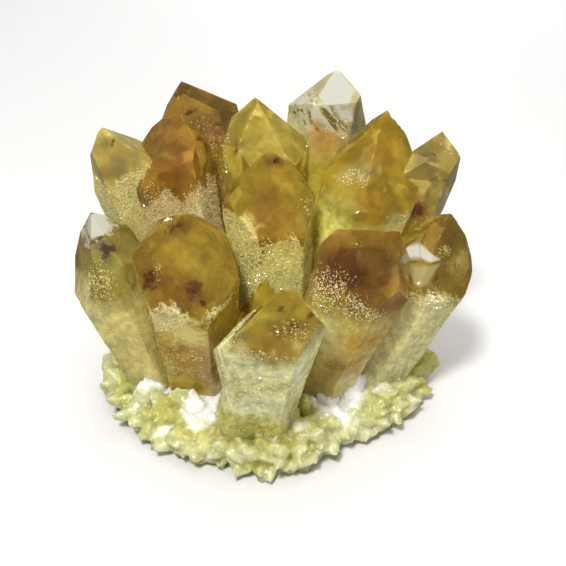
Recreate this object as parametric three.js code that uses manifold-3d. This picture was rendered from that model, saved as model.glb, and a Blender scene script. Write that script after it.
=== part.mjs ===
// A cluster of golden quartz: seventeen stout crystals grown together like the
// petals of a lotus, out of a low cake of milky quartz whose edge bristles with
// small crystals. It is one solid, cut off flat underneath, where it rests.
//
// Millimetres, +Z up. The origin is the middle of the flat underside, and the
// crystals that lean to the front lean towards -Y.

import * as THREE from "three";
import { ConvexGeometry } from "three/addons/geometries/ConvexGeometry.js";
import { mergeVertices } from "three/addons/utils/BufferGeometryUtils.js";
import Module from "manifold-3d";

const wasm = await Module();
wasm.setup();

// ---------------------------------------------------------------- dimensions

const SIDES = 6; // quartz grows as a six-sided prism under a six-sided point
const SINK = 4; // how far a crystal's root goes into the cake
const LONG_EDGE = 1.4; // width of the worn band between two sides, or two faces of a point
const SHOULDER_EDGE = 3.6; // width of the worn band between a side and a point's face

// The large crystals. `root` is where the long axis leaves the cake and `top` is
// where it ends, level with the apex. `facing` is the compass direction, in
// degrees from +X towards +Y, that the front of its six sides looks in. `width`
// is measured across that side and `depth` through it, at the shoulder, and
// `rootShare` is how much of that is left at the root. `apex` moves the apex off
// the axis, [to the right of the front side, out of it]. `tilt` is the angle
// between the axis and the normals of the point's six faces, `turn` is how far
// the point is turned on its prism, and `caps` sets each of its faces back from
// the apex, in the order front, front right, back right, back, back left, front
// left.
const POINTS = {
  front: {
    root: [-3, -30, 10],
    top: [0, -41, 66],
    facing: -96,
    width: 29,
    depth: 21,
    rootShare: 0.66,
    apex: [5, 3],
    tilt: 60,
    turn: 5,
    caps: [1, 6, 3, 1, 2, 7],
  },
  frontLeft: {
    root: [-22, -9, 9],
    top: [-23, -25, 71],
    facing: -98,
    width: 30,
    depth: 24,
    rootShare: 0.8,
    apex: [-2, -8],
    tilt: 46,
    turn: 21,
    caps: [0, 4, 1, 0, 2, 4],
  },
  frontRight: {
    root: [13, -13, 9],
    top: [31, -23, 72],
    facing: -115,
    width: 28,
    depth: 18,
    rootShare: 0.78,
    apex: [0, -5],
    tilt: 58,
    turn: -20,
    caps: [0, 7, 2, 0, 1, 5],
  },
  left: {
    root: [-35, -9, 9],
    top: [-54, -5, 64],
    facing: -159,
    width: 24,
    depth: 23,
    rootShare: 0.72,
    apex: [-2, -3],
    tilt: 58,
    turn: 10,
    caps: [0, 1, 1, 2, 0, 3],
  },
  leftHigh: {
    root: [-26, 6, 9],
    top: [-46, 16, 84],
    facing: 153,
    width: 23,
    depth: 25,
    rootShare: 0.75,
    apex: [6, -3],
    tilt: 53,
    turn: -25,
    caps: [0, 3, 4, 3, 1, 5],
  },
  leftInner: {
    root: [-18, 1, 9],
    top: [-32, 13, 87],
    facing: -137,
    width: 25,
    depth: 24,
    rootShare: 0.68,
    apex: [0, -3],
    tilt: 49,
    turn: -7,
    caps: [0, 2, 4, 0, 1, 3],
  },
  middle: {
    root: [1, -8, 9],
    top: [0, -3, 82],
    facing: -74,
    width: 28,
    depth: 23,
    rootShare: 0.72,
    apex: [1, -7],
    tilt: 46,
    turn: 5,
    caps: [0, 2, 1, 0, 0, 6],
  },
  low: {
    root: [-3, -18, 9],
    top: [-2, -20, 52],
    facing: -92,
    width: 22,
    depth: 14,
    rootShare: 0.85,
    apex: [1, -2],
    tilt: 62,
    turn: 0,
    caps: [0, 1, 0, 0, 0, 1],
  },
  backMiddle: {
    root: [-1, 8, 9],
    top: [-1, 22, 88],
    facing: -80,
    width: 27,
    depth: 23,
    rootShare: 0.8,
    apex: [-1, -5],
    tilt: 44,
    turn: -7,
    caps: [1, 0, 0, 2, 2, 1],
  },
  backLeft: {
    root: [-11, 16, 9],
    top: [-23, 36, 88],
    facing: -123,
    width: 25,
    depth: 23,
    rootShare: 0.7,
    apex: [-6, 0],
    tilt: 51,
    turn: 11,
    caps: [4, 3, 8, 0, 1, 1],
  },
  backRight: {
    root: [6, 15, 9],
    top: [20, 38, 91],
    facing: -89,
    width: 25,
    depth: 22,
    rootShare: 0.68,
    apex: [2, 3],
    tilt: 51,
    turn: -11,
    caps: [2, 4, 0, 0, 3, 3],
  },
  rightInner: {
    root: [17, 1, 9],
    top: [35, 15, 88],
    facing: -74,
    width: 32,
    depth: 24,
    rootShare: 0.7,
    apex: [2, -6],
    tilt: 57,
    turn: 7,
    caps: [0, 3, 0, 3, 0, 1],
  },
  rightHigh: {
    root: [28, 7, 9],
    top: [49, 24, 79],
    facing: -26,
    width: 25,
    depth: 22,
    rootShare: 0.7,
    apex: [-1, 3],
    tilt: 53,
    turn: 7,
    caps: [4, 0, 1, 0, 2, 2],
  },
  right: {
    root: [32, -7, 9],
    top: [53, -5, 63],
    facing: -58,
    width: 27,
    depth: 23,
    rootShare: 0.74,
    apex: [2, -3],
    tilt: 53,
    turn: -12,
    caps: [0, 3, 1, 3, 1, 1],
  },
  rear: {
    root: [-1, 27, 9],
    top: [-4, 46, 64],
    facing: 92,
    width: 28,
    depth: 22,
    rootShare: 0.7,
    apex: [0, -4],
    tilt: 55,
    turn: 0,
    caps: [0, 2, 0, 0, 1, 2],
  },
  rearLeft: {
    root: [-23, 21, 9],
    top: [-36, 37, 68],
    facing: 128,
    width: 26,
    depth: 22,
    rootShare: 0.72,
    apex: [0, -3],
    tilt: 52,
    turn: 8,
    caps: [0, 1, 1, 0, 0, 2],
  },
  rearRight: {
    root: [21, 23, 9],
    top: [34, 41, 67],
    facing: 55,
    width: 26,
    depth: 22,
    rootShare: 0.72,
    apex: [1, -3],
    tilt: 54,
    turn: -8,
    caps: [0, 2, 0, 1, 0, 1],
  },
};

// The cake of milky quartz. `RIM` is the radius of its edge, which swells and
// dips: each of its waves is [how many swells, how far in or out, degrees from
// +X to a swell]. The profile runs from the middle of the underside out to the
// edge and back over the top, as [share of the edge's radius, height].
const RIM = 42;
const RIM_WAVES = [
  [1, 1.4, 180],
  [2, 4.0, 11],
  [4, 1.8, 0],
  [7, 0.9, 20],
];
const CAKE_PROFILE = [
  [0, 0],
  [0.84, 0],
  [0.96, 2.5],
  [1, 6],
  [0.92, 9],
  [0.72, 11.5],
  [0, 13],
];
const CAKE_SEGMENTS = 36;

// The small crystals on the cake, in rings. `reach` and `height` say where they
// root, as a share of the edge's radius and as a height, and `lift` how steeply
// they point up. `count`, `width` and `length` are the middling crystal's.
const RINGS = [
  { count: 30, reach: 0.92, height: 3.4, lift: -2, width: 8.0, length: 6.6 },
  { count: 32, reach: 0.94, height: 6.2, lift: 14, width: 8.2, length: 7.4 },
  { count: 28, reach: 0.87, height: 8.0, lift: 38, width: 8.4, length: 7.0 },
  { count: 20, reach: 0.75, height: 9.4, lift: 62, width: 8.0, length: 5.8 },
];
const SMALL_POINT = 0.45; // share of a small crystal's length that is its point
const SMALL_ROOT = 0.8; // how wide a small crystal is at its root, of its widest
const SMALL_RIDGE = 0.26; // length of the ridge it ends in, as a share of its width
const LIFT_SPREAD = 18; // how far, in degrees, their lifts vary
const SCATTER = 0.25; // how far the small crystals' sizes and places vary
const SEED = 12; // which of the many like scatters of small crystals is drawn
const LOWEST = 0; // the flat underside, where everything is cut off

const QUARTZ_COLOUR = 0xc9a63a;

// ------------------------------------------------------------------- helpers

const radians = THREE.MathUtils.degToRad;

// Numbers from 0 to 1 that look random and are the same in every run.
function sequence(seed) {
  let state = seed;
  return () => {
    state = (state * 1664525 + 1013904223) % 4294967296;
    return state / 4294967296;
  };
}

// A closed geometry as a manifold-3d solid.
function solidOf(geometry) {
  const bare = geometry.clone();
  bare.deleteAttribute("normal");
  bare.deleteAttribute("uv");
  const merged = mergeVertices(bare, 1e-4);
  const corners = merged.index.array;
  const triVerts = [];
  for (let i = 0; i < corners.length; i += 3) {
    const [a, b, c] = [corners[i], corners[i + 1], corners[i + 2]];
    if (a !== b && b !== c && c !== a) triVerts.push(a, b, c);
  }
  return new wasm.Manifold(
    new wasm.Mesh({
      numProp: 3,
      vertProperties: new Float32Array(merged.attributes.position.array),
      triVerts: new Uint32Array(triVerts),
    }),
  );
}

// A manifold-3d solid as a geometry with flat faces.
function geometryOf(solid) {
  const mesh = solid.getMesh();
  const geometry = new THREE.BufferGeometry();
  geometry.setAttribute("position", new THREE.BufferAttribute(mesh.vertProperties, 3));
  geometry.setIndex(new THREE.BufferAttribute(mesh.triVerts, 1));
  const faceted = geometry.toNonIndexed();
  faceted.computeVertexNormals();
  return faceted;
}

// The corners of the body that lies behind all the planes.
function cornersOf(planes) {
  const corners = [];
  const found = new THREE.Vector3();
  const matrix = new THREE.Matrix3();
  for (let i = 0; i < planes.length; i++)
    for (let j = i + 1; j < planes.length; j++)
      for (let k = j + 1; k < planes.length; k++) {
        const [a, b, c] = [planes[i], planes[j], planes[k]];
        matrix.set(...a.normal.toArray(), ...b.normal.toArray(), ...c.normal.toArray());
        if (Math.abs(matrix.determinant()) < 1e-6) continue;
        found.set(-a.constant, -b.constant, -c.constant).applyMatrix3(matrix.invert());
        if (planes.every((p) => p.distanceToPoint(found) < 1e-6))
          corners.push({ point: found.clone(), planes: [a, b, c] });
      }
  return corners;
}

// The planes with one more along each edge between two faces, which takes off a
// band `bandOf(first, second)` wide.
function worn(planes, bandOf) {
  const corners = cornersOf(planes);
  const bands = [];
  for (let i = 0; i < planes.length; i++)
    for (let j = i + 1; j < planes.length; j++) {
      const [a, b] = [planes[i], planes[j]];
      const width = bandOf(a, b);
      const shared = corners.filter((c) => c.planes.includes(a) && c.planes.includes(b));
      if (!width || shared.length < 2) continue;
      const half = a.normal.angleTo(b.normal) / 2;
      const normal = a.normal.clone().add(b.normal).normalize();
      const band = new THREE.Plane().setFromNormalAndCoplanarPoint(normal, shared[0].point);
      band.constant += (width / 2) * Math.tan(half);
      bands.push(band);
    }
  return [...planes, ...bands];
}

// ------------------------------------------------------------ large crystals

// One crystal as a convex body. Its six long faces lean out a little from root
// to shoulder, and the six faces of its point meet at the apex, or behind it
// where they are set back.
function crystal({ root, top, facing, width, depth, rootShare, apex, tilt, turn, caps }) {
  const base = new THREE.Vector3(...root);
  const up = new THREE.Vector3(...top).sub(base);
  const length = up.length();
  up.normalize();
  const into = new THREE.Vector3(-Math.cos(radians(facing)), -Math.sin(radians(facing)), 0);
  into.addScaledVector(up, -into.dot(up)).normalize();
  const right = new THREE.Vector3().crossVectors(into, up);

  const steep = radians(tilt);
  const tip = new THREE.Vector3(apex[0], -apex[1], length);
  const shoulder = length - Math.tan(steep) * (width / 2);
  const planes = [];
  for (let i = 0; i < SIDES; i++) {
    const angle = radians(-90 + (360 / SIDES) * i);
    const reach = i % 3 === 0 ? depth / 2 : (width / 2) * Math.cos(radians(30));
    const lean = (reach * (1 - rootShare)) / shoulder;
    const side = new THREE.Vector3(Math.cos(angle), Math.sin(angle), -lean).normalize();
    const atShoulder = new THREE.Vector3(Math.cos(angle) * reach, Math.sin(angle) * reach, shoulder);
    const turned = angle + radians(turn);
    const cap = new THREE.Vector3(
      Math.cos(turned) * Math.sin(steep),
      Math.sin(turned) * Math.sin(steep),
      Math.cos(steep),
    );
    const plane = new THREE.Plane().setFromNormalAndCoplanarPoint(side, atShoulder);
    const face = new THREE.Plane().setFromNormalAndCoplanarPoint(cap, tip);
    plane.kind = "side";
    face.kind = "cap";
    face.constant -= caps[i];
    planes.push(plane, face);
  }
  const foot = new THREE.Plane(new THREE.Vector3(0, 0, -1), -SINK);
  foot.kind = "foot";
  planes.push(foot);

  const finished = worn(planes, (a, b) => {
    if (a.kind === "foot" || b.kind === "foot") return 0;
    return a.kind === b.kind ? LONG_EDGE : SHOULDER_EDGE;
  });
  const hull = new ConvexGeometry(cornersOf(finished).map((c) => c.point));
  hull.applyMatrix4(new THREE.Matrix4().makeBasis(right, into, up).setPosition(base));
  return solidOf(hull);
}

// ------------------------------------------------------- cake and its druse

// The radius of the cake's edge at an angle.
function rimAt(angle) {
  return RIM_WAVES.reduce(
    (sum, [swells, far, first]) => sum + far * Math.cos(swells * (angle - radians(first))),
    RIM,
  );
}

// The cake: a turned profile, drawn out to its edge.
function cake() {
  const profile = CAKE_PROFILE.map(([share, height]) => new THREE.Vector2(share, height));
  const turned = new THREE.LatheGeometry(profile, CAKE_SEGMENTS);
  turned.rotateX(Math.PI / 2);
  const place = turned.attributes.position;
  for (let i = 0; i < place.count; i++) {
    const radius = rimAt(Math.atan2(place.getY(i), place.getX(i)));
    place.setXYZ(i, place.getX(i) * radius, place.getY(i) * radius, place.getZ(i));
  }
  return solidOf(turned);
}

// One small crystal along +Z: a six-sided prism that widens to its shoulder,
// under a point that ends in a short ridge off the middle.
function smallCrystal(width, length, random) {
  const points = [];
  const shoulder = length * (1 - SMALL_POINT);
  for (let i = 0; i < SIDES; i++) {
    const angle = (2 * Math.PI * i) / SIDES;
    const reach = (width / 2) * (1 - SCATTER * 0.5 * random());
    const [x, y] = [Math.cos(angle) * reach, Math.sin(angle) * reach];
    points.push(new THREE.Vector3(x * SMALL_ROOT, y * SMALL_ROOT, 0));
    points.push(new THREE.Vector3(x, y, shoulder * (1 - 0.25 * random())));
  }
  const off = width * 0.3 * (random() - 0.5);
  const ridge = width * SMALL_RIDGE;
  points.push(new THREE.Vector3(off - ridge, off, length * 0.94));
  points.push(new THREE.Vector3(off + ridge, off, length));
  return new ConvexGeometry(points);
}

// The rings of small crystals, each pointing out from the cake.
function druse() {
  const random = sequence(SEED);
  const spread = () => 1 + SCATTER * (2 * random() - 1);
  const solids = [];
  for (const { count, reach, height, lift, width, length } of RINGS)
    for (let i = 0; i < count; i++) {
      const angle = (2 * Math.PI * (i + 0.8 * (random() - 0.5))) / count;
      const rise = radians(lift + LIFT_SPREAD * (random() - 0.5));
      const swing = angle + 0.5 * (random() - 0.5);
      const aim = new THREE.Vector3(
        Math.cos(swing) * Math.cos(rise),
        Math.sin(swing) * Math.cos(rise),
        Math.sin(rise),
      );
      const shape = smallCrystal(width * spread(), length * spread(), random);
      shape.rotateZ(2 * Math.PI * random());
      const turn = new THREE.Quaternion().setFromUnitVectors(new THREE.Vector3(0, 0, 1), aim);
      const radius = reach * rimAt(angle);
      shape.applyQuaternion(turn);
      shape.translate(Math.cos(angle) * radius, Math.sin(angle) * radius, height);
      solids.push(solidOf(shape));
    }
  return solids;
}

// ------------------------------------------------------------------ the part

const grown = wasm.Manifold.union([cake(), ...druse(), ...Object.values(POINTS).map(crystal)]);
const cut = grown.trimByPlane([0, 0, 1], LOWEST);

// The outer skin alone, so that a gap closed in between crystals is filled.
const skin = cut.decompose().reduce((a, b) => (a.volume() > b.volume() ? a : b));

const quartz = new THREE.Mesh(
  geometryOf(skin),
  new THREE.MeshStandardMaterial({ color: QUARTZ_COLOUR, roughness: 0.25, metalness: 0 }),
);
quartz.name = "quartz_cluster";

const part = new THREE.Group();
part.add(quartz);

export default part;
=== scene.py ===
# %% [markdown]
# # A cluster of golden quartz
#
# Seventeen stout quartz crystals grow like the petals of a lotus out of a low
# cake of milky quartz, whose edge bristles with small crystals. Their points
# are polished and clear, honey gold to smoke brown inside, and their sides are
# frosted and glitter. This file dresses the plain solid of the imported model:
# it builds the same crystals again with keen or worn edges, a grown surface,
# zones of colour and grains, and gives them quartz's own optics.

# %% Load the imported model, which fixes the place and size of everything
from itertools import combinations

import bpy
import numpy as np
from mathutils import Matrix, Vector


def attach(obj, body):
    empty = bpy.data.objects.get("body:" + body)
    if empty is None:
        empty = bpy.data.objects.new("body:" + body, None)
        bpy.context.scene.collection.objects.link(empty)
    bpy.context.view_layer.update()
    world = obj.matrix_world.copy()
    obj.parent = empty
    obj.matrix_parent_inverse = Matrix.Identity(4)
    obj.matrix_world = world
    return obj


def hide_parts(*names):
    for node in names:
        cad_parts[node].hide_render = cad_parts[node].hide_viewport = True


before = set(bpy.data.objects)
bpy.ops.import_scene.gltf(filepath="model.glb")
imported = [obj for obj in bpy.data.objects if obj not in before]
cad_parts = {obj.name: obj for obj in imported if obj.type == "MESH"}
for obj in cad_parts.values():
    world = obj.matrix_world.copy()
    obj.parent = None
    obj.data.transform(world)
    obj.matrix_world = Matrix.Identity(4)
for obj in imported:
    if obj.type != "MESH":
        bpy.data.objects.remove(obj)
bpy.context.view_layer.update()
MM = 0.001

# %% [markdown]
# ## Helpers for surfaces
#
# A grown surface is a smooth shape plus noise. Noise that is the same in every
# run, and the same wherever two pieces meet, is worked out from the place
# alone: each corner of a lattice gets a number from its own whole-number
# coordinates, and a point in between blends the eight corners round it.


# %% Smooth steps and lattice noise
# large primes that mix a cell's three coordinates, and its salt, into one number
CELL_MIX = np.array([73856093, 19349663, 83492791])
SALT_MIX = 2654435761


def smooth_step(low, high, value):
    """0 below low, 1 above high, and 3t^2 - 2t^3 between them."""
    t = np.clip((value - low) / (high - low), 0, 1)
    return t * t * (3 - 2 * t)


def lattice(cells, salt):
    """One number from 0 to 1 for each whole-number cell, by mixing its bits."""
    stirred = cells.astype(np.int64) @ CELL_MIX + salt * SALT_MIX
    stirred = (stirred ^ (stirred >> 13)) * 1274126177 & 0xFFFFFFFF
    return ((stirred ^ (stirred >> 16)) & 0xFFFF) / 65535.0


def noise(points, size, salt=0):
    """Blended lattice noise from -1 to 1, whose lumps are about `size` across."""
    scaled = points / size
    cell = np.floor(scaled).astype(np.int64)
    t = scaled - cell
    t = t * t * (3 - 2 * t)
    total = np.zeros(len(points))
    for corner in np.ndindex(2, 2, 2):
        near = np.array(corner)
        share = np.prod(np.where(near, t, 1 - t), axis=1)
        total += share * lattice(cell + near, salt)
    return 2 * total - 1


def rough(points, size, octaves, salt=0):
    """Noise of that size, plus finer noise at half the height each time."""
    return sum(noise(points, size / 2**k, salt + k) / 2**k for k in range(octaves))


# %% Meshes from arrays
def new_object(name, points, faces):
    """A mesh object at the origin, with its place in its mesh."""
    mesh = bpy.data.meshes.new(name)
    mesh.from_pydata(points.tolist(), [], [tuple(f) for f in faces])
    mesh.update()
    made = bpy.data.objects.new(name, mesh)
    bpy.context.scene.collection.objects.link(made)
    return made


def points_of(piece):
    """The places of a piece's vertices, as an array of one row each."""
    flat = np.empty(len(piece.data.vertices) * 3)
    piece.data.vertices.foreach_get("co", flat)
    return flat.reshape(-1, 3)


def squares(rows, columns):
    """Corner numbers of the squares of a grid whose columns close round.

    Each row of the result holds four: here, right, above right and above.
    """
    here = np.arange(rows - 1)[:, None] * columns + np.arange(columns)[None, :]
    right = np.arange(rows - 1)[:, None] * columns + (np.arange(columns)[None, :] + 1) % columns
    return np.stack([here, right, right + columns, here + columns], axis=-1).reshape(-1, 4)


def end_fans(rows, columns):
    """Triangles from the first row to one more point, and from the last row to a second."""
    ring = np.arange(columns)
    following = (ring + 1) % columns
    first, top = rows * columns, (rows - 1) * columns
    low = np.stack([following, ring, np.full(columns, first)], axis=1)
    high = np.stack([top + ring, top + following, np.full(columns, first + 1)], axis=1)
    return [*low.tolist(), *high.tolist()]


def tube_faces(rows, columns):
    """The squares of a grid that closes round, and a fan over each of its ends."""
    return [*squares(rows, columns).tolist(), *end_fans(rows, columns)]


def net_faces(net):
    """A grid's squares cut in two along the diagonal that lies further out, and a fan over each end."""
    corners = squares(*net.shape[:2])
    a, b, c, d = net.reshape(-1, 3)[corners].transpose(1, 0, 2)
    outwards = np.cross(c - a, d - b)
    first = ((a + c - b - d) * outwards).sum(axis=1, keepdims=True) > 0
    one = np.where(first, corners[:, [0, 1, 2]], corners[:, [0, 1, 3]])
    two = np.where(first, corners[:, [0, 2, 3]], corners[:, [1, 2, 3]])
    return [*one.tolist(), *two.tolist(), *end_fans(*net.shape[:2])]


def joined(name, pieces):
    """One closed skin round all the pieces, by Blender's Boolean modifier."""
    first, *others = pieces
    group = bpy.data.collections.new(name + "_parts")
    bpy.context.scene.collection.children.link(group)
    for other in others:
        bpy.context.scene.collection.objects.unlink(other)
        group.objects.link(other)
    union = first.modifiers.new("union", "BOOLEAN")
    union.operation = "UNION"
    union.solver = "MANIFOLD"
    union.operand_type = "COLLECTION"
    union.collection = group
    bpy.context.view_layer.update()
    evaluated = first.evaluated_get(bpy.context.evaluated_depsgraph_get())
    mesh = bpy.data.meshes.new_from_object(evaluated)
    mesh.name = name
    for piece in pieces:
        bpy.data.objects.remove(piece)
    bpy.data.collections.remove(group)
    made = bpy.data.objects.new(name, mesh)
    bpy.context.scene.collection.objects.link(made)
    return made


# %% [markdown]
# ## The large crystals' measures
#
# Quartz grows as a six-sided prism under a six-sided point. Each crystal has a
# long axis from its root to its top, six sides that lean out a little from the
# root, and six faces that meet at the apex, or behind it where they are set
# back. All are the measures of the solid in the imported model.

# %% The table of crystals, in millimetres and degrees
# how far each crystal goes on below its root, inside the cake
SINK = 4.0
POINTS = {
    "front": dict(root=(-3, -30, 10), top=(0, -41, 66), facing=-96, width=29, depth=21, root_share=0.66,
                  apex=(5, 3), tilt=60, turn=5, caps=(1, 6, 3, 1, 2, 7)),
    "front_left": dict(root=(-22, -9, 9), top=(-23, -25, 71), facing=-98, width=30, depth=24, root_share=0.8,
                       apex=(-2, -8), tilt=46, turn=21, caps=(0, 4, 1, 0, 2, 4)),
    "front_right": dict(root=(13, -13, 9), top=(31, -23, 72), facing=-115, width=28, depth=18,
                        root_share=0.78, apex=(0, -5), tilt=58, turn=-20, caps=(0, 7, 2, 0, 1, 5)),
    "left": dict(root=(-35, -9, 9), top=(-54, -5, 64), facing=-159, width=24, depth=23, root_share=0.72,
                 apex=(-2, -3), tilt=58, turn=10, caps=(0, 1, 1, 2, 0, 3)),
    "left_high": dict(root=(-26, 6, 9), top=(-46, 16, 84), facing=153, width=23, depth=25, root_share=0.75,
                      apex=(6, -3), tilt=53, turn=-25, caps=(0, 3, 4, 3, 1, 5)),
    "left_inner": dict(root=(-18, 1, 9), top=(-32, 13, 87), facing=-137, width=25, depth=24, root_share=0.68,
                       apex=(0, -3), tilt=49, turn=-7, caps=(0, 2, 4, 0, 1, 3)),
    "middle": dict(root=(1, -8, 9), top=(0, -3, 82), facing=-74, width=28, depth=23, root_share=0.72,
                   apex=(1, -7), tilt=46, turn=5, caps=(0, 2, 1, 0, 0, 6)),
    "low": dict(root=(-3, -18, 9), top=(-2, -20, 52), facing=-92, width=22, depth=14, root_share=0.85,
                apex=(1, -2), tilt=62, turn=0, caps=(0, 1, 0, 0, 0, 1)),
    "back_middle": dict(root=(-1, 8, 9), top=(-1, 22, 88), facing=-80, width=27, depth=23, root_share=0.8,
                        apex=(-1, -5), tilt=44, turn=-7, caps=(1, 0, 0, 2, 2, 1)),
    "back_left": dict(root=(-11, 16, 9), top=(-23, 36, 88), facing=-123, width=25, depth=23, root_share=0.7,
                      apex=(-6, 0), tilt=51, turn=11, caps=(4, 3, 8, 0, 1, 1)),
    "back_right": dict(root=(6, 15, 9), top=(20, 38, 91), facing=-89, width=25, depth=22, root_share=0.68,
                       apex=(2, 3), tilt=51, turn=-11, caps=(2, 4, 0, 0, 3, 3)),
    "right_inner": dict(root=(17, 1, 9), top=(35, 15, 88), facing=-74, width=32, depth=24, root_share=0.7,
                        apex=(2, -6), tilt=57, turn=7, caps=(0, 3, 0, 3, 0, 1)),
    "right_high": dict(root=(28, 7, 9), top=(49, 24, 79), facing=-26, width=25, depth=22, root_share=0.7,
                       apex=(-1, 3), tilt=53, turn=7, caps=(4, 0, 1, 0, 2, 2)),
    "right": dict(root=(32, -7, 9), top=(53, -5, 63), facing=-58, width=27, depth=23, root_share=0.74,
                  apex=(2, -3), tilt=53, turn=-12, caps=(0, 3, 1, 3, 1, 1)),
    "rear": dict(root=(-1, 27, 9), top=(-4, 46, 64), facing=92, width=28, depth=22, root_share=0.7,
                 apex=(0, -4), tilt=55, turn=0, caps=(0, 2, 0, 0, 1, 2)),
    "rear_left": dict(root=(-23, 21, 9), top=(-36, 37, 68), facing=128, width=26, depth=22, root_share=0.72,
                      apex=(0, -3), tilt=52, turn=8, caps=(0, 1, 1, 0, 0, 2)),
    "rear_right": dict(root=(21, 23, 9), top=(34, 41, 67), facing=55, width=26, depth=22, root_share=0.72,
                       apex=(1, -3), tilt=54, turn=-8, caps=(0, 2, 0, 1, 0, 1)),
}
print(len(POINTS), "large crystals")


# %% Each crystal as planes round its long axis
# small faces that take off an apex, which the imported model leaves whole:
# a direction out of the stone and a place on the face, both in the crystal's axes
CHIPS = {
    "front_right": [((-0.42, 0.55, 0.72), (-4, 3, 61.3))],
}


class Crystal:
    """A crystal's own axes, and its planes: normals and how far each stands from the root."""

    def __init__(self, chips, root, top, facing, width, depth, root_share, apex, tilt, turn, caps):
        """Rows of `axes` are the directions to the right of the front side, into it, and up."""
        self.root = np.array(root, float)
        up = np.array(top, float) - self.root
        self.length = np.linalg.norm(up)
        up /= self.length
        look = np.radians(facing)
        into = -np.array([np.cos(look), np.sin(look), 0])
        into -= up * (into @ up)
        into /= np.linalg.norm(into)
        self.axes = np.array([np.cross(into, up), into, up])
        self.width = width

        steep = np.radians(tilt)
        self.shoulder = self.length - np.tan(steep) * width / 2
        side_at = np.radians(-90 + 60 * np.arange(6))
        reach = np.where(np.arange(6) % 3 == 0, depth / 2, width / 2 * np.cos(np.radians(30)))
        lean = reach * (1 - root_share) / self.shoulder
        size = np.sqrt(1 + lean**2)
        sides = np.stack([np.cos(side_at), np.sin(side_at), -lean], axis=1) / size[:, None]
        side_reach = (reach - lean * self.shoulder) / size
        cap_at = side_at + np.radians(turn)
        out_and_up = [np.cos(cap_at), np.sin(cap_at), np.full(6, 1 / np.tan(steep))]
        faces = np.stack(out_and_up, axis=1) * np.sin(steep)
        tip = np.array([apex[0], -apex[1], self.length])
        face_reach = faces @ tip + np.array(caps)
        chip_at = np.array([place for _, place in chips], float).reshape(-1, 3)
        chipped = np.array([out for out, _ in chips], float).reshape(-1, 3)
        chipped /= np.linalg.norm(chipped, axis=1, keepdims=True)
        self.normals = np.vstack([sides, faces, chipped, [[0, 0, -1]]])
        self.reaches = np.concatenate([side_reach, face_reach, (chipped * chip_at).sum(axis=1), [SINK]])
        self.flat = len(self.normals) - 1

    def local(self, points):
        """Points, in millimetres, in this crystal's own axes."""
        return (points - self.root) @ self.axes.T

    def outside(self, local):
        """How far each point lies outside the sides, and outside the point's faces."""
        beyond = local @ self.normals.T - self.reaches
        return beyond[:, :6].max(axis=1), beyond[:, 6:self.flat].max(axis=1)


crystals = {name: Crystal(CHIPS.get(name, []), **measures) for name, measures in POINTS.items()}
print("longest", round(max(c.length for c in crystals.values()), 1), "mm")

# %% [markdown]
# ## Skins for the crystals
#
# The faces of quartz are flat and meet in keen edges, but the grown sides also
# carry fine level steps and lumps. So each skin is a net of rays. One parameter
# sweeps the ray round the long axis. The other first carries the ray's start up
# the axis, with the ray level, and then tilts it up to the apex. A ray stops at
# the nearest plane. The points of the net that come closest to an edge are then
# drawn onto it, so that the edge is straight. Four crystals are worn: their
# edges are rounded instead, by blending the distances to nearly equal planes.

# %% Rays that stop at planes
AROUND = 101
ALONG_SIDE = 30
ALONG_POINT = 35
# the power of the mean: the higher it is, the keener the edges are
KEEN = 400.0
WORN = {"front_left": 110.0, "middle": 50.0, "right_inner": 120.0, "right": 100.0}


def stop_distance(crystal, starts, rays, power):
    """Distance along each ray to the skin: one over the power mean of how soon each plane is met."""
    room = crystal.reaches - starts @ crystal.normals.T
    soon = np.clip(rays @ crystal.normals.T / room, 1e-6, None)
    most = soon.max(axis=-1)
    blend = ((soon / most[..., None]) ** power).sum(axis=-1) ** (1 / power)
    return 1 / (most * blend)


# %% Nets drawn onto their edges and corners
# a point is drawn to an edge within this share of the net's pitch,
EDGE_CATCH = 0.6
# and to a corner within so many millimetres
CORNER_CATCH = 1.0
# three planes whose determinant is less than this don't meet in a proper corner,
PARALLEL = 0.01
# and one that lies outside another plane by more than this, in millimetres, is off the stone
HAIR = 0.001


def pitch(net):
    """The wider of the two gaps from each point of a net to the next."""
    along = np.linalg.norm(np.diff(net, axis=0, append=net[-1:] + 0.1), axis=-1)
    across = np.linalg.norm(np.roll(net, -1, axis=1) - net, axis=-1)
    return np.maximum(along, across)


def drawn_to_edges(crystal, net):
    """The points nearest to each edge, moved the short way onto its two planes.

    A point counts as nearest when no neighbour in its row, or in its column, that lies between the same
    two planes is closer to their edge.
    """
    normals, reaches = crystal.normals[:-1], crystal.reaches[:-1]
    depth = reaches - net @ normals.T
    first, second = np.moveaxis(np.argsort(depth, axis=-1)[..., :2], -1, 0)
    cosine = (normals[first] * normals[second]).sum(axis=-1)
    to_first = np.take_along_axis(depth, first[..., None], axis=-1)[..., 0]
    to_second = np.take_along_axis(depth, second[..., None], axis=-1)[..., 0]
    away = to_second / np.sqrt(1 - cosine**2)
    pair = crystal.flat * np.minimum(first, second) + np.maximum(first, second)
    nearest = np.zeros(away.shape, bool)
    for axis in (0, 1):
        before, after = (np.where(np.roll(pair, step, axis) == pair, np.roll(away, step, axis), np.inf)
                         for step in (1, -1))
        nearest |= (away <= before) & (away <= after)
    nearest &= away < EDGE_CATCH * pitch(net)
    share = nearest / (1 - cosine**2)
    shift = (to_first - cosine * to_second)[..., None] * normals[first]
    shift += (to_second - cosine * to_first)[..., None] * normals[second]
    return net + share[..., None] * shift


def corners_of(crystal):
    """Where three of the crystal's planes meet on its surface."""
    found = []
    for trio in combinations(range(crystal.flat), 3):
        planes = crystal.normals[list(trio)]
        if abs(np.linalg.det(planes)) < PARALLEL:
            continue
        corner = np.linalg.solve(planes, crystal.reaches[list(trio)])
        if (crystal.normals @ corner - crystal.reaches).max() < HAIR:
            found.append(corner)
    return np.array(found)


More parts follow.
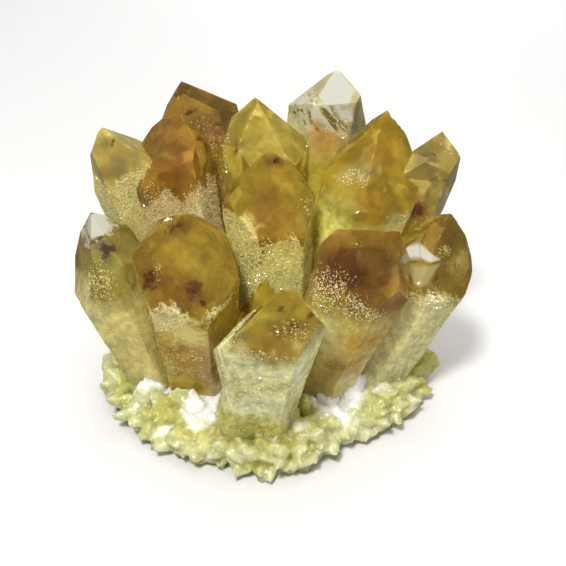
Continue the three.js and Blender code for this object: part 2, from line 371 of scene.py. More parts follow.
def drawn_to_corners(crystal, net):
    """The point of the net nearest to each corner, put in that corner where it is close by."""
    flat = net.reshape(-1, 3).copy()
    corners = corners_of(crystal)
    away = np.linalg.norm(flat[:, None] - corners[None], axis=-1)
    nearest = away.argmin(axis=0)
    close = away.min(axis=0) < CORNER_CATCH
    flat[nearest[close]] = corners[close]
    return flat.reshape(net.shape)


# %% Eggs: the shape of every swelling, cloud and patch
THINNEST_EGG = 3.0


def rows_of(table, name):
    """What a table says about one crystal: its rows, without the name that each starts with."""
    return [row[1:] for row in table if row[0] == name]


def egg_reach(local, place, half_width, half_height, lean=0):
    """Distance from the middle of an egg, counted so that its outline lies at 1.

    The egg leans in its crystal's front plane, and is as deep as it is wide.
    """
    x, y, z = (local - place).T
    turn = np.radians(lean)
    across, up = x * np.cos(turn) + z * np.sin(turn), z * np.cos(turn) - x * np.sin(turn)
    deep = max(half_width, THINNEST_EGG)
    return np.sqrt((across / half_width) ** 2 + (y / deep) ** 2 + (up / half_height) ** 2)


# %% The grown surface
# crystal, place in the crystal's axes, half width, half height, how far the foot swells out there
SWELLS = [
    ("front", (-9, -6, 4), 8, 10, 4.4),
    ("front", (8, -8, 3), 7, 7, 1.6),
    ("front_right", (8, -7, 6), 6, 6, 1.4),
]
STEP_HEIGHT = 0.16
LUMP_HEIGHT = 0.45
WAVE_HEIGHT = 0.10


def swelling(name, local):
    """How far each point of a crystal's foot is pushed out by the stone that has grown over it."""
    out = np.zeros(len(local))
    for place, half_width, half_height, most in rows_of(SWELLS, name):
        out += most * smooth_step(1.3, 0.2, egg_reach(local, place, half_width, half_height))
    return out


def steps(crystal, local, world):
    """How far the skin sits below its planes.

    The sides have level steps and soft lumps, and the point has a faint wave.
    """
    beyond_side, beyond_point = crystal.outside(local)
    on_side = smooth_step(-0.8, 1.6, beyond_side - beyond_point)
    level = np.abs(noise(local / (9, 9, 1), 1.7, 3))
    lumps = 0.5 + 0.5 * rough(world, 6.0, 3, 5)
    wave = 0.5 + 0.5 * rough(world, 9.0, 2, 8)
    sides = STEP_HEIGHT * level + LUMP_HEIGHT * lumps**2
    return on_side * sides + (1 - on_side) * WAVE_HEIGHT * wave


# %% The crystals' skins
# the rays stay level up to this share of the width below the shoulder,
LEVEL_END = 0.12
# and the first one starts so many millimetres above the lowest plane
FIRST_RAY = 0.5


def crystal_rays(head, foot):
    """Starts and directions: round the axis (first parameter), and up it and over the point (second)."""
    rise = np.concatenate([np.linspace(foot, head, ALONG_SIDE), np.full(ALONG_POINT, head)])
    lift = np.concatenate([np.zeros(ALONG_SIDE), np.linspace(0, np.pi / 2, ALONG_POINT + 2)[1:-1]])
    angle = 2 * np.pi * np.arange(AROUND) / AROUND
    level, climb = np.cos(lift)[:, None], np.repeat(np.sin(lift)[:, None], AROUND, axis=1)
    rays = np.stack([level * np.cos(angle), level * np.sin(angle), climb], axis=-1)
    starts = np.zeros_like(rays)
    starts[..., 2] = rise[:, None]
    return starts, rays


def crystal_skin(name, crystal):
    """A net of rays that stop at the planes, sunk by the grown surface and closed at both ends."""
    head = crystal.shoulder - LEVEL_END * crystal.width
    foot = -SINK + FIRST_RAY
    starts, rays = crystal_rays(head, foot)
    net = starts + rays * stop_distance(crystal, starts, rays, WORN.get(name, KEEN))[..., None]
    if name not in WORN:
        net = drawn_to_corners(crystal, drawn_to_edges(crystal, net))
    flat = net.reshape(-1, 3)
    sunk = steps(crystal, flat, flat @ crystal.axes + crystal.root) - swelling(name, flat)
    net = net - rays * sunk.reshape(net.shape[:2])[..., None]
    up = np.array([[0.0, 0.0, 1.0]])
    start = up * head
    apex = start + up * stop_distance(crystal, start, up, KEEN)
    local = np.vstack([net.reshape(-1, 3), up * foot, apex])
    return new_object(name, (local @ crystal.axes + crystal.root) * MM, net_faces(net))


skins = [crystal_skin(name, crystal) for name, crystal in crystals.items()]
large = joined("large_crystals", skins)
print("large crystals:", len(large.data.vertices), "vertices,", len(large.data.polygons), "faces")

# %% [markdown]
# ## The cake and its small crystals
#
# The foot of the cluster is a cake of milky quartz, sawn flat below. Small
# crystals stand out of its edge and its top in rings. The rings are scattered
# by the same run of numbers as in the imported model, so each small crystal here
# lies over its plain one. A second, finer crop of crystals grows between them.

# %% The cake's measures, in millimetres
RIM = 42.0
RIM_WAVES = [(1, 1.4, 180), (2, 4.0, 11), (4, 1.8, 0), (7, 0.9, 20)]
CAKE_PROFILE = np.array([(0, 0), (0.84, 0), (0.96, 2.5), (1, 6), (0.92, 9), (0.72, 11.5), (0, 13)])
RINGS = [
    dict(count=30, reach=0.92, height=3.4, lift=-2, width=8.0, length=6.6),
    dict(count=32, reach=0.94, height=6.2, lift=14, width=8.2, length=7.4),
    dict(count=28, reach=0.87, height=8.0, lift=38, width=8.4, length=7.0),
    dict(count=20, reach=0.75, height=9.4, lift=62, width=8.0, length=5.8),
]
# a small crystal's point as a share of its length, and its root and half its ridge as shares of its width
SMALL_POINT = 0.45
SMALL_ROOT = 0.8
SMALL_RIDGE = 0.26
# how far lifts differ in degrees, and sizes as a share
LIFT_SPREAD = 18
SCATTER = 0.25
SEED = 12


def rim_at(angle):
    """The radius of the cake's edge at an angle: a mean and a few waves."""
    return RIM + sum(far * np.cos(swells * (angle - np.radians(first))) for swells, far, first in RIM_WAVES)


def at_rim(share, angle, height):
    """Places so far round, at a share of the way out to the cake's edge, and at a height."""
    radius = share * rim_at(angle)
    return np.stack([radius * np.cos(angle), radius * np.sin(angle), height], axis=-1)


def pointing(swing, rise):
    """Directions of length 1, so far round from +X and so far up from level."""
    return np.stack([np.cos(swing) * np.cos(rise), np.sin(swing) * np.cos(rise), np.sin(rise)], axis=-1)


def run_of_numbers(count, seed):
    """Numbers from 0 to 1, each worked out from the one before it."""
    numbers, state = [], seed
    for _ in range(count):
        state = (state * 1664525 + 1013904223) % 4294967296
        numbers.append(state / 4294967296)
    return np.array(numbers)


# %% The cake's lumpy skin
CAKE_AROUND = 220
CAKE_OUT = 60
CAKE_LUMP = 1.4
CAKE_SHRINK = 0.03


def cake_skin():
    """The profile (first parameter) swept round (second) and drawn out to the rim.

    Above the sawn face, noise sinks it.
    """
    legs = np.linalg.norm(np.diff(CAKE_PROFILE * (RIM, 1), axis=0), axis=1)
    run = np.concatenate([[0], np.cumsum(legs)])
    along = np.linspace(0, run[-1], CAKE_OUT + 2)[1:-1]
    share = np.interp(along, run, CAKE_PROFILE[:, 0])
    height = np.interp(along, run, CAKE_PROFILE[:, 1])
    angle = 2 * np.pi * np.arange(CAKE_AROUND) / CAKE_AROUND
    net = at_rim(share[:, None], angle, np.repeat(height[:, None], CAKE_AROUND, axis=1))
    points = np.vstack([net.reshape(-1, 3), [[0, 0, 0], [0, 0, CAKE_PROFILE[-1, 1]]]])
    grown = smooth_step(0.2, 3, points[:, 2])
    lumps = 0.5 + 0.5 * rough(points, 7.0, 4, 21)
    points[:, :2] *= (1 - CAKE_SHRINK * grown * lumps)[:, None]
    points[:, 2] -= grown * CAKE_LUMP * lumps
    return new_object("cake", points * MM, tube_faces(CAKE_OUT, CAKE_AROUND))


cake = cake_skin()
print("cake", len(cake.data.vertices), "vertices")


# %% A small crystal's faces: a prism that widens to its shoulder, and a point that ends in a short ridge
SIDES = 6
FOOT = np.arange(SIDES)
SHOULDER = FOOT + SIDES
NEXT = (FOOT + 1) % SIDES
RIDGE_LEFT, RIDGE_RIGHT = 12, 13
SMALL_FACES = [
    tuple(FOOT[::-1]),
    *[(int(i), int(NEXT[i]), int(SHOULDER[NEXT[i]])) for i in FOOT],
    *[(int(i), int(SHOULDER[NEXT[i]]), int(SHOULDER[i])) for i in FOOT],
    (6, 7, RIDGE_RIGHT),
    (7, 8, RIDGE_RIGHT),
    (8, RIDGE_LEFT, RIDGE_RIGHT),
    (8, 9, RIDGE_LEFT),
    (9, 10, RIDGE_LEFT),
    (10, 11, RIDGE_LEFT),
    (11, RIDGE_RIGHT, RIDGE_LEFT),
    (11, 6, RIDGE_RIGHT),
]


# %% Many small crystals at once
def small_crystal_points(width, length, reach_draw, shoulder_draw, off_draw):
    """Two six-sided rings and two ridge ends, for many crystals at once: one row of draws each."""
    angle = 2 * np.pi * FOOT / SIDES
    reach = width[:, None] / 2 * (1 - SCATTER * 0.5 * reach_draw)
    x, y = np.cos(angle) * reach, np.sin(angle) * reach
    foot = np.stack([x * SMALL_ROOT, y * SMALL_ROOT, np.zeros_like(x)], axis=-1)
    high = (length * (1 - SMALL_POINT))[:, None] * (1 - 0.25 * shoulder_draw)
    shoulder = np.stack([x, y, high], axis=-1)
    off = width * 0.3 * (off_draw - 0.5)
    ridge = width * SMALL_RIDGE
    left = np.stack([off - ridge, off, length * 0.94], axis=-1)
    right = np.stack([off + ridge, off, length], axis=-1)
    return np.concatenate([foot, shoulder, left[:, None], right[:, None]], axis=1)


def aimed(points, spin, aim, place):
    """Each crystal's points spun about +Z, turned the short way from +Z to its aim, and moved.

    The turn keeps what lies along its axis, and swings the rest by the cosine and the cross product.
    """
    c, s = np.cos(spin)[:, None], np.sin(spin)[:, None]
    x, y, z = np.moveaxis(points, -1, 0)
    spun = np.stack([x * c - y * s, x * s + y * c, z], axis=-1)
    axis = np.stack([-aim[:, 1], aim[:, 0], np.zeros(len(aim))], axis=-1)
    cosine = aim[:, 2][:, None, None]
    crossed = np.cross(axis[:, None, :], spun)
    along = (axis[:, None, :] * spun).sum(axis=-1, keepdims=True)
    turned = spun * cosine + crossed + axis[:, None, :] * along / (1 + cosine)
    return turned + place[:, None, :]


# %% The rings of small crystals
DRAWS_EACH = 19


def ring_crystals():
    """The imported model's rings of small crystals, from the same run of numbers."""
    counts = [ring["count"] for ring in RINGS]
    draws = run_of_numbers(sum(counts) * DRAWS_EACH, SEED).reshape(-1, DRAWS_EACH)
    value = {key: np.repeat([float(ring[key]) for ring in RINGS], counts) for key in RINGS[0]}
    index = np.concatenate([np.arange(count) for count in counts])
    angle = 2 * np.pi * (index + 0.8 * (draws[:, 0] - 0.5)) / value["count"]
    rise = np.radians(value["lift"] + LIFT_SPREAD * (draws[:, 1] - 0.5))
    swing = angle + 0.5 * (draws[:, 2] - 0.5)
    width = value["width"] * (1 + SCATTER * (2 * draws[:, 3] - 1))
    length = value["length"] * (1 + SCATTER * (2 * draws[:, 4] - 1))
    points = small_crystal_points(width, length, draws[:, 5:17:2], draws[:, 6:17:2], draws[:, 17])
    place = at_rim(value["reach"], angle, value["height"])
    return aimed(points, 2 * np.pi * draws[:, 18], pointing(swing, rise), place)


def crystal_objects(name, all_points):
    """One mesh object for each small crystal."""
    return [new_object(f"{name}_{i}", p * MM, SMALL_FACES) for i, p in enumerate(all_points)]


smalls = crystal_objects("small", ring_crystals())
print(len(smalls), "small crystals in rings")

# %% [markdown]
# ## A finer crop
#
# The real edge bristles more than the rings alone do. Copies of one small
# crystal would look alike, so each fine one is again worked out from its own
# draws, at a random place from the foot of the edge to the top of the cake.
# Patches of milk quartz are left bare, as smooth stone shows between the feet.

# %% Where milk quartz lies bare
# place across and into the cake, and radius
BARE_MILK = [((-38, -17), 4), ((-21, -27), 4), ((19, -26), 6), ((25, -21), 4), ((31, -16), 4)]


def far_from(points, patches):
    """Distance from the nearest of some round patches, counted so that each one's outline lies at 1."""
    return np.min([np.hypot(*(points[:, :2] - place).T) / reach for place, reach in patches], axis=0)


def milk_share(points):
    """1 deep in a bare patch of milk quartz, one half at its outline, and 0 well outside all of them."""
    return smooth_step(1.5, 0.5, far_from(points, BARE_MILK) + 0.25 * rough(points, 4.0, 2, 97))


# %% The finer crystals
FINE_COUNT = 1000
FINE_SEED = 5
# how high up the edge from 0 to 1, and there: share of the way out, height, and rise in degrees
CLIMB = [0, 0.3, 0.6, 1]
CLIMB_SHARE = [0.98, 1.03, 0.95, 0.72]
CLIMB_HEIGHT = [1.5, 5.5, 8.8, 11.4]
CLIMB_RISE = [-8, 8, 42, 75]
MOSTLY_MILK = 0.8


def fine_crystals():
    """Crystals half as big, at random places over the edge and the top, pointing out of the cake."""
    draw = np.random.default_rng(FINE_SEED).random((FINE_COUNT, 20))
    angle = 2 * np.pi * draw[:, 0]
    climb = draw[:, 1]
    rise = np.radians(np.interp(climb, CLIMB, CLIMB_RISE) + 40 * (draw[:, 2] - 0.5))
    swing = angle + 0.9 * (draw[:, 3] - 0.5)
    width = 2.2 + 2.6 * draw[:, 4] ** 1.5
    length = width * (1.0 + 0.8 * draw[:, 5])
    points = small_crystal_points(width, length, draw[:, 6:12], draw[:, 12:18], draw[:, 18])
    place = at_rim(np.interp(climb, CLIMB, CLIMB_SHARE), angle, np.interp(climb, CLIMB, CLIMB_HEIGHT))
    kept = milk_share(place) < MOSTLY_MILK
    return aimed(points, 2 * np.pi * draw[:, 19], pointing(swing, rise), place)[kept]


fines = crystal_objects("fine", fine_crystals())
print(len(fines), "finer crystals")

# %% Two stubs as stout as a fingertip at the right, and seven slim ones at the front crystal's foot
STUBS = [
    dict(place=(42, 0, 7), aim=(0.97, -0.05, 0.24), width=15, length=13, spin=20),
    dict(place=(37, -14, 4), aim=(0.90, -0.43, 0.05), width=13, length=10, spin=50),
    dict(place=(-12, -39, 8), aim=(-0.5, -0.6, 0.7), width=5, length=8, spin=10),
    dict(place=(-8, -41, 8), aim=(0.1, -0.5, 0.8), width=4.4, length=7, spin=35),
    dict(place=(-4, -42, 8), aim=(-0.3, -0.7, 0.7), width=5.5, length=7, spin=5),
    dict(place=(0, -41.5, 8), aim=(0.2, -0.4, 0.9), width=4.4, length=6.5, spin=25),
    dict(place=(4, -41, 8), aim=(-0.1, -0.7, 0.7), width=5.4, length=7.5, spin=50),
    dict(place=(8, -38, 9), aim=(0.4, -0.4, 0.8), width=4.6, length=7, spin=15),
    dict(place=(13, -36, 9), aim=(0.2, -0.6, 0.8), width=5.6, length=7.5, spin=40),
]


def stub_crystals():
    """Small crystals at named places, each aimed by its own direction."""
    even = np.full((len(STUBS), 6), 0.5)
    column = {key: np.array([stub[key] for stub in STUBS], float) for key in STUBS[0]}
    points = small_crystal_points(column["width"], column["length"], even, even, even[:, 0])
    aim = column["aim"] / np.linalg.norm(column["aim"], axis=1)[:, None]
    return aimed(points, np.radians(column["spin"]), aim, column["place"])


stubs = crystal_objects("stub", stub_crystals())
druse = joined("druse_base", [cake, *smalls, *fines, *stubs])
print("base:", len(druse.data.vertices), "vertices,", len(druse.data.polygons), "faces")

# %% [markdown]
# ## One crust
#
# On the real stone the small crystals have grown into one another, with no
# seam between them. The Boolean joins them but leaves knife-sharp seams. So the
# Remesh modifier lays one even net over them all, a little smoothing rounds it,
# and a last Boolean saws off what hangs below the flat foot.

# %% Fuse the crust and saw it flat
GRAIN_OF_CRUST = 0.55
SOFTENING = 2
ONE_PASS = 0.5
SAW_BLOCK = 0.2


def finished(piece):
    """Keep the mesh that a piece's modifiers give."""
    bpy.context.view_layer.update()
    mesh = bpy.data.meshes.new_from_object(piece.evaluated_get(bpy.context.evaluated_depsgraph_get()))
    mesh.name = piece.name
    piece.modifiers.clear()
    piece.data = mesh


def remeshed(piece):
    """One even net of small squares over the whole crust."""
    made = piece.modifiers.new("net", "REMESH")
    made.mode = "VOXEL"
    made.voxel_size = GRAIN_OF_CRUST * MM


def softened(piece):
    """Edges rounded by drawing each point towards its neighbours."""
    made = piece.modifiers.new("soft", "SMOOTH")
    made.factor = ONE_PASS
    made.iterations = SOFTENING


def sawn_flat(piece):
    """Keep what lies above the sawn face: what a tall block on the ground shares with the piece."""
    across = (-SAW_BLOCK, SAW_BLOCK)
    corners = np.array([(x, y, z) for z in (0, SAW_BLOCK) for y in across for x in across])
    faces = [(0, 2, 3, 1), (4, 5, 7, 6), (0, 1, 5, 4), (2, 6, 7, 3), (0, 4, 6, 2), (1, 3, 7, 5)]
    block = new_object("block", corners, faces)
    cut = piece.modifiers.new("cut", "BOOLEAN")
    cut.operation = "INTERSECT"
    cut.solver = "MANIFOLD"
    cut.object = block
    finished(piece)
    bpy.data.objects.remove(block)


remeshed(druse)
softened(druse)
finished(druse)
print("fused crust:", len(druse.data.vertices), "vertices")
sawn_flat(druse)
print("sawn crust:", len(druse.data.vertices), "vertices, lowest", round(points_of(druse)[:, 2].min(), 5))

# %% [markdown]
# ## Colour zones of the large crystals
#
# The colour of quartz lies in zones: smoke or honey in the polished point, milk
# and frost on the grown sides, rust in a few spots. Each vertex is given to the
# crystal whose skin it is on, and gets that crystal's two colours. Then it gets
# fields, numbers that run from 1 deep in a zone to 0 far outside it, with one
# half on the outline. The material cuts each field at one half and roughens the
# cut, so an outline is keener than the net of vertices. Soft clouds of colour
# go straight into the two colours.
# Some zones stand for light: a painted highlight along the edges, a painted sheen on a few paler faces, and
# white facets that are partly a painted reflection.

# %% Each crystal's looks
# point and body are the colours of the polish and of the grown sides; frost, milk and haze run from 0 to 1;
# rim is how plainly the painted highlight along its edges shows, 1 where it isn't given; edge is where the
# polish ends, across and up
LOOKS = {
    "front": dict(
        point=(0.68, 0.51, 0.07), body=(0.58, 0.57, 0.28), frost=0.30, milk=0.9, haze=0.0,
        edge=[(-9, 50), (-7, 46), (-5, 48), (-3, 46), (-1, 43), (1, 44.5), (4, 42), (6, 45), (8, 43),
              (11, 46), (14, 48)]),
    "front_left": dict(
        point=(0.60, 0.43, 0.05), body=(0.58, 0.40, 0.07), frost=0.12, milk=0.4, haze=0.0, rim=0.5,
        edge=[(0, 40)]),
    "front_right": dict(
        point=(0.54, 0.34, 0.06), body=(0.62, 0.50, 0.15), frost=0.18, milk=0.5, haze=0.0,
        edge=[(-11, 44), (-4, 41), (0, 42), (5, 44), (9, 45)]),
    "left": dict(
        point=(0.42, 0.34, 0.08), body=(0.62, 0.54, 0.20), frost=0.25, milk=0.5, haze=0.0,
        edge=[(5, 44), (9, 36)]),
    "left_high": dict(
        point=(0.76, 0.62, 0.16), body=(0.58, 0.49, 0.15), frost=0.9, milk=0.5, haze=0.25,
        edge=[(8, 66), (11, 64)]),
    "left_inner": dict(
        point=(0.49, 0.27, 0.04), body=(0.66, 0.50, 0.20), frost=0.9, milk=0.5, haze=0.08, rim=0.2,
        edge=[(-1, 58), (6, 60), (8, 62), (9, 58), (11, 61)]),
    "middle": dict(
        point=(0.54, 0.38, 0.035), body=(0.60, 0.52, 0.11), frost=1.0, milk=0.5, haze=0.12,
        edge=[(-14, 60), (-8, 61), (-7, 57), (-6, 53), (-5, 54), (5, 53), (7, 47), (10, 44)]),
    "low": dict(
        point=(0.66, 0.50, 0.04), body=(0.62, 0.52, 0.06), frost=0.1, milk=0.2, haze=0.2, edge=[(0, 20)]),
    "back_middle": dict(
        point=(0.62, 0.49, 0.075), body=(0.58, 0.46, 0.07), frost=0.3, milk=0.3, haze=0.12, edge=[(0, 60)]),
    "back_left": dict(
        point=(0.33, 0.20, 0.025), body=(0.38, 0.26, 0.04), frost=0.5, milk=0.3, haze=0.0, edge=[(0, 68)]),
    "back_right": dict(
        point=(0.66, 0.60, 0.32), body=(0.54, 0.42, 0.05), frost=0.2, milk=0.3, haze=0.4, edge=[(0, 66)]),
    "right_inner": dict(
        point=(0.51, 0.36, 0.03), body=(0.72, 0.65, 0.14), frost=0.12, milk=0.8, haze=0.12,
        edge=[(-12, 56), (-4, 52), (7, 54), (13, 58)]),
    "right_high": dict(
        point=(0.56, 0.45, 0.12), body=(0.50, 0.36, 0.08), frost=0.3, milk=0.3, haze=0.10, edge=[(0, 54)]),
    "right": dict(
        point=(0.48, 0.33, 0.05), body=(0.64, 0.60, 0.28), frost=0.6, milk=0.7, haze=0.0,
        edge=[(-10, 36), (-9, 38), (-6, 39), (-1, 41), (3, 40)]),
    "rear": dict(
        point=(0.56, 0.40, 0.06), body=(0.66, 0.58, 0.22), frost=0.9, milk=0.5, haze=0.1,
        edge=[(-10, 38), (10, 44)]),
    "rear_left": dict(
        point=(0.52, 0.34, 0.05), body=(0.64, 0.55, 0.20), frost=0.8, milk=0.5, haze=0.0,
        edge=[(-10, 46), (10, 40)]),
    "rear_right": dict(
        point=(0.58, 0.44, 0.07), body=(0.66, 0.60, 0.24), frost=0.8, milk=0.6, haze=0.2, edge=[(0, 42)]),
}

# %% Soft clouds of colour
CLOUDS = {
    "umber": (0.24, 0.10, 0.03),
    "rust": (0.40, 0.17, 0.04),
    "amber": (0.56, 0.31, 0.04),
    "gold": (0.74, 0.60, 0.08),
    "pale": (0.80, 0.74, 0.34),
    "slate": (0.22, 0.21, 0.15),
    "olive": (0.38, 0.34, 0.05),
    "lime": (0.78, 0.75, 0.18),
    "milk": (0.82, 0.82, 0.58),
    "ink": (0.07, 0.08, 0.08),
}

# crystal, cloud, place in the crystal's axes, half width, half height, lean in degrees, strength
SOFT_PATCHES = [
    ("front_left", "umber", (-4, 6, 61), 7, 1.6, 0, 0.5),
    ("front_left", "rust", (-8, -5, 52), 2.2, 6.0, 20, 0.75),
    ("front_left", "amber", (-2, -6, 50), 7, 5.5, 0, 0.7),
    ("front_left", "umber", (3.6, -6, 49), 4.2, 4.2, 0, 0.5),
    ("front_left", "gold", (4, -1, 57), 6, 4, 20, 0.35),
    ("front_left", "rust", (0, -9, 46), 8, 1.8, 10, 0.5),
    ("front_left", "gold", (11, -5, 39), 5, 5, 20, 0.6),
    ("front_left", "pale", (3, -12, 33), 4, 6, 20, 0.6),
    ("front_left", "gold", (7, -2, 52), 5, 8, 0, 0.45),
    ("front_left", "amber", (1, -11, 24), 9, 8, 0, 0.7),
    ("front_left", "rust", (5, -11, 20), 5, 4, 0, 0.5),
    ("front_left", "umber", (-4, -11, 27), 4, 2.6, 25, 0.45),
    ("front_left", "umber", (3, -11, 14), 3, 4, -20, 0.35),
    ("front_left", "pale", (-6, -11, 18), 2.4, 5, -10, 0.4),
    ("front_left", "pale", (8, -9, 27), 2, 5, 10, 0.35),
    ("front_left", "gold", (-2, -11, 10), 8, 4, 0, 0.5),
    ("front", "gold", (1, -4, 53), 7, 3, 0, 0.5),
    ("front", "umber", (8, -7, 50.5), 5.0, 2.4, 15, 0.5),
    ("front", "amber", (5, -10, 46), 8, 2.6, 0, 0.6),
    ("front", "slate", (-5, -11, 47), 2.2, 1.6, 0, 0.35),
    ("front", "olive", (-12, -8, 10), 6, 5.0, 30, 0.85),
    ("front", "olive", (0, -9, 7), 12, 4.2, 0, 0.8),
    ("front", "milk", (-8, -8, 37), 3.0, 9.0, -10, 0.6),
    ("front", "milk", (0, -9, 38), 1.6, 5.0, 0, 0.45),
    ("front", "milk", (7, -9, 36), 5, 2.0, 0, 0.4),
    ("front", "milk", (12, -8, 34), 2.2, 9, -12, 0.6),
    ("front", "milk", (2, -9, 22), 5, 3.0, 10, 0.4),
    ("front", "olive", (4, -9, 28), 6, 3.0, 15, 0.3),
    ("front", "olive", (-6, -9, 25), 4, 2.4, -15, 0.25),
    ("front", "milk", (-3, -9, 17), 9, 3.0, 0, 0.45),
    ("low", "umber", (-4, 0, 35), 3.6, 4.4, 0, 0.7),
    ("front_right", "umber", (-1, -4, 50), 11, 5.0, 0, 0.85),
    ("front_right", "umber", (-10, -2, 47), 3, 6.0, -30, 0.6),
    ("front_right", "lime", (-4, -9, 41), 2.4, 1.4, 0, 0.7),
    ("front_right", "slate", (8, -1, 57), 3.5, 5.0, 0, 0.35),
    ("front_right", "amber", (-3, 2, 60), 9, 1.6, 33, 0.5),
    ("front_right", "amber", (10, -6, 32), 5.5, 5.0, 0, 0.9),
    ("front_right", "rust", (8, -6, 21), 6.0, 4.0, 10, 0.7),
    ("front_right", "pale", (-3, -8, 28), 4, 9, 0, 0.75),
    ("front_right", "lime", (5, -8, 38), 5, 2.5, 20, 0.5),
    ("middle", "umber", (3, 6, 71), 3.4, 3.0, 0, 0.75),
    ("middle", "rust", (-2, -4, 62), 5.5, 3.5, 10, 0.5),
    ("middle", "amber", (1, -8, 57), 8.0, 5.0, 0, 0.6),
    ("left", "ink", (5.6, 2, 48.4), 3.4, 3.6, 20, 1.0),
    ("left", "gold", (1, -4, 46), 4, 4, 0, 0.3),
    ("left", "olive", (8, 0, 42), 5, 7, 0, 0.6),
    ("left", "pale", (4, -9, 33), 4, 12, -5, 0.6),
    ("left_high", "ink", (10, 3, 76), 2.0, 1.8, 0, 0.4),
    ("left_high", "slate", (9, 5, 70), 3.0, 2.4, 0, 0.4),
    ("left_high", "umber", (10, 2, 67.5), 4.5, 1.8, 20, 0.45),
    ("left_inner", "amber", (3, -8, 68), 4, 7, 0, 0.7),
    ("left_inner", "rust", (10, -3, 69), 3.5, 3.5, 0, 0.6),
    ("left_inner", "rust", (2, -8, 72), 3.0, 2.5, 0, 0.4),
    ("left_inner", "pale", (11, 2, 55), 5, 4.0, 20, 0.75),
    ("back_left", "umber", (2, -7, 75), 4.0, 3.5, 0, 0.45),
    ("back_left", "umber", (8, -3, 70), 5.5, 3.5, 0, 0.6),
    ("back_left", "rust", (9, -6, 65), 4, 4, 0, 0.6),
    ("back_left", "amber", (6, -1, 79), 6, 2, -30, 0.5),
    ("back_middle", "rust", (-10, -5, 68), 1.6, 4.0, 0, 0.4),
    ("back_middle", "pale", (3, -6, 77), 5, 3, 0, 0.35),
    ("back_right", "rust", (-4, -11, 70), 3.2, 3.2, 20, 0.9),
    ("back_right", "rust", (1.4, -11, 69.5), 1.8, 3.4, -10, 0.8),
    ("back_right", "amber", (-1, -11, 67), 7, 4, 0, 0.8),
    ("back_right", "pale", (8, -5, 75), 3.4, 8.0, 0, 0.9),
    ("back_right", "pale", (-8, -8, 73), 5, 5, 0, 0.5),
    ("right_inner", "amber", (0, -2, 71), 7, 4, 20, 0.55),
    ("right_inner", "pale", (-7, -5, 65), 6, 2.6, 30, 0.45),
    ("right_inner", "amber", (-3, -10, 59), 6, 3.5, 0, 0.6),
    ("right_inner", "lime", (-11, -7, 49), 8, 10, 0, 0.8),
    ("right_inner", "pale", (9, -11, 54), 7, 2.4, 10, 0.6),
    ("right_high", "slate", (-9, -4, 68), 2.6, 2.6, 0, 0.5),
    ("right_high", "pale", (5, -4, 62), 3.0, 9, 0, 0.4),
    ("right_high", "umber", (-9, -6, 52), 4.5, 3.6, 0, 0.9),
    ("right", "umber", (0, 1, 53), 7, 2.6, 10, 0.5),
    ("right", "gold", (-8, 4, 51), 4, 3.0, 0, 0.6),
    ("right", "slate", (-1, -4, 47), 1.8, 1.6, 0, 0.6),
    ("right", "umber", (-2, -6, 44), 3, 4, -30, 0.5),
    ("right", "pale", (-7, -9, 24), 5, 12, 0, 0.5),
    ("right", "olive", (5, -2, 51), 4, 4, 0, 0.4),
    ("right", "pale", (6, -3, 46), 4.5, 5, 0, 0.7),
]

# %% Patches with an outline
# crystal, field, place in the crystal's axes, half width, half height, lean in degrees
KEEN_PATCHES = [
    ("front_left", "stain", (-9.6, -6, 51), 1.2, 5.0, -20),
    ("front_left", "stain", (3.4, -5, 49.4), 2.2, 2.8, -30),
    ("front_left", "stain", (-7.6, -6, 49), 0.5, 4.4, -26),
    ("front_left", "stain", (6.4, -7, 45.8), 0.8, 1.6, 40),
    ("front_left", "stain", (-5, 5, 61.5), 3.6, 0.5, 8),
    ("front_left", "stain", (-4, -9, 46.2), 1.4, 0.4, 0),
    ("front_left", "sugar", (-3.4, -11, 42.5), 5.6, 4.4, -8),
    ("front_left", "milky", (0.6, -12, 37.0), 5.4, 5.6, 25),
    ("front_left", "sugar", (-5.5, -12, 38.0), 2.6, 2.2, 0),
    ("front_left", "sugar", (10, -6, 43.5), 6, 1.1, 18),
    ("front", "stain", (4, -5, 55), 1.1, 1.4, 0),
    ("front", "stain", (11.5, -5, 54.5), 0.9, 2.2, -40),
    ("front", "stain", (8, -8, 50.5), 3.0, 0.6, 15),
    ("front", "sugar", (-10.0, -6, 41), 1.5, 8, -6),
    ("low", "stain", (-4.5, 0, 35.5), 2.0, 3.4, 0),
    ("front_right", "stain", (5.6, -2, 53.6), 1.0, 1.6, 0),
    ("front_right", "stain", (5, 0, 60), 0.35, 2.4, 10),
    ("middle", "stain", (3, 5, 70.8), 1.0, 1.2, 0),
    ("middle", "stain", (-5.3, -11, 49), 0.35, 4.5, 0),
    ("left", "shattered", (-2, 3, 53), 5.5, 4.5, 0),
    ("left", "stain", (6, 2, 48.2), 1.5, 2.0, 20),
    ("left_high", "stain", (8.5, 5, 76), 0.4, 1.6, 20),
    ("left_inner", "stain", (1.5, -12, 60), 0.8, 1.0, 0),
    ("back_left", "stain", (1.5, -7, 76), 0.9, 0.8, 0),
    ("back_left", "stain", (8.5, -3, 70.5), 1.6, 0.6, 0),
    ("back_middle", "stain", (-10, -5, 68), 0.4, 2.6, 10),
    ("back_middle", "sugar", (-13, 5, 59), 1.6, 6, 0),
    ("back_right", "shattered", (-8, -7, 76), 8.0, 4.5, -40),
    ("back_right", "shattered", (0, -11, 75), 6.5, 4.0, -15),
    ("right_high", "stain", (-6, -8, 64), 5, 0.3, 25),
    ("right_high", "stain", (-8, -5, 70), 2.6, 0.3, -35),
    ("right_high", "stain", (-9, -6, 52), 2.4, 2.2, 0),
    ("right", "stain", (-4.5, -6, 42.5), 0.5, 3.0, -50),
    ("right", "sugar", (-4, -11, 37), 6, 3.0, 0),
]

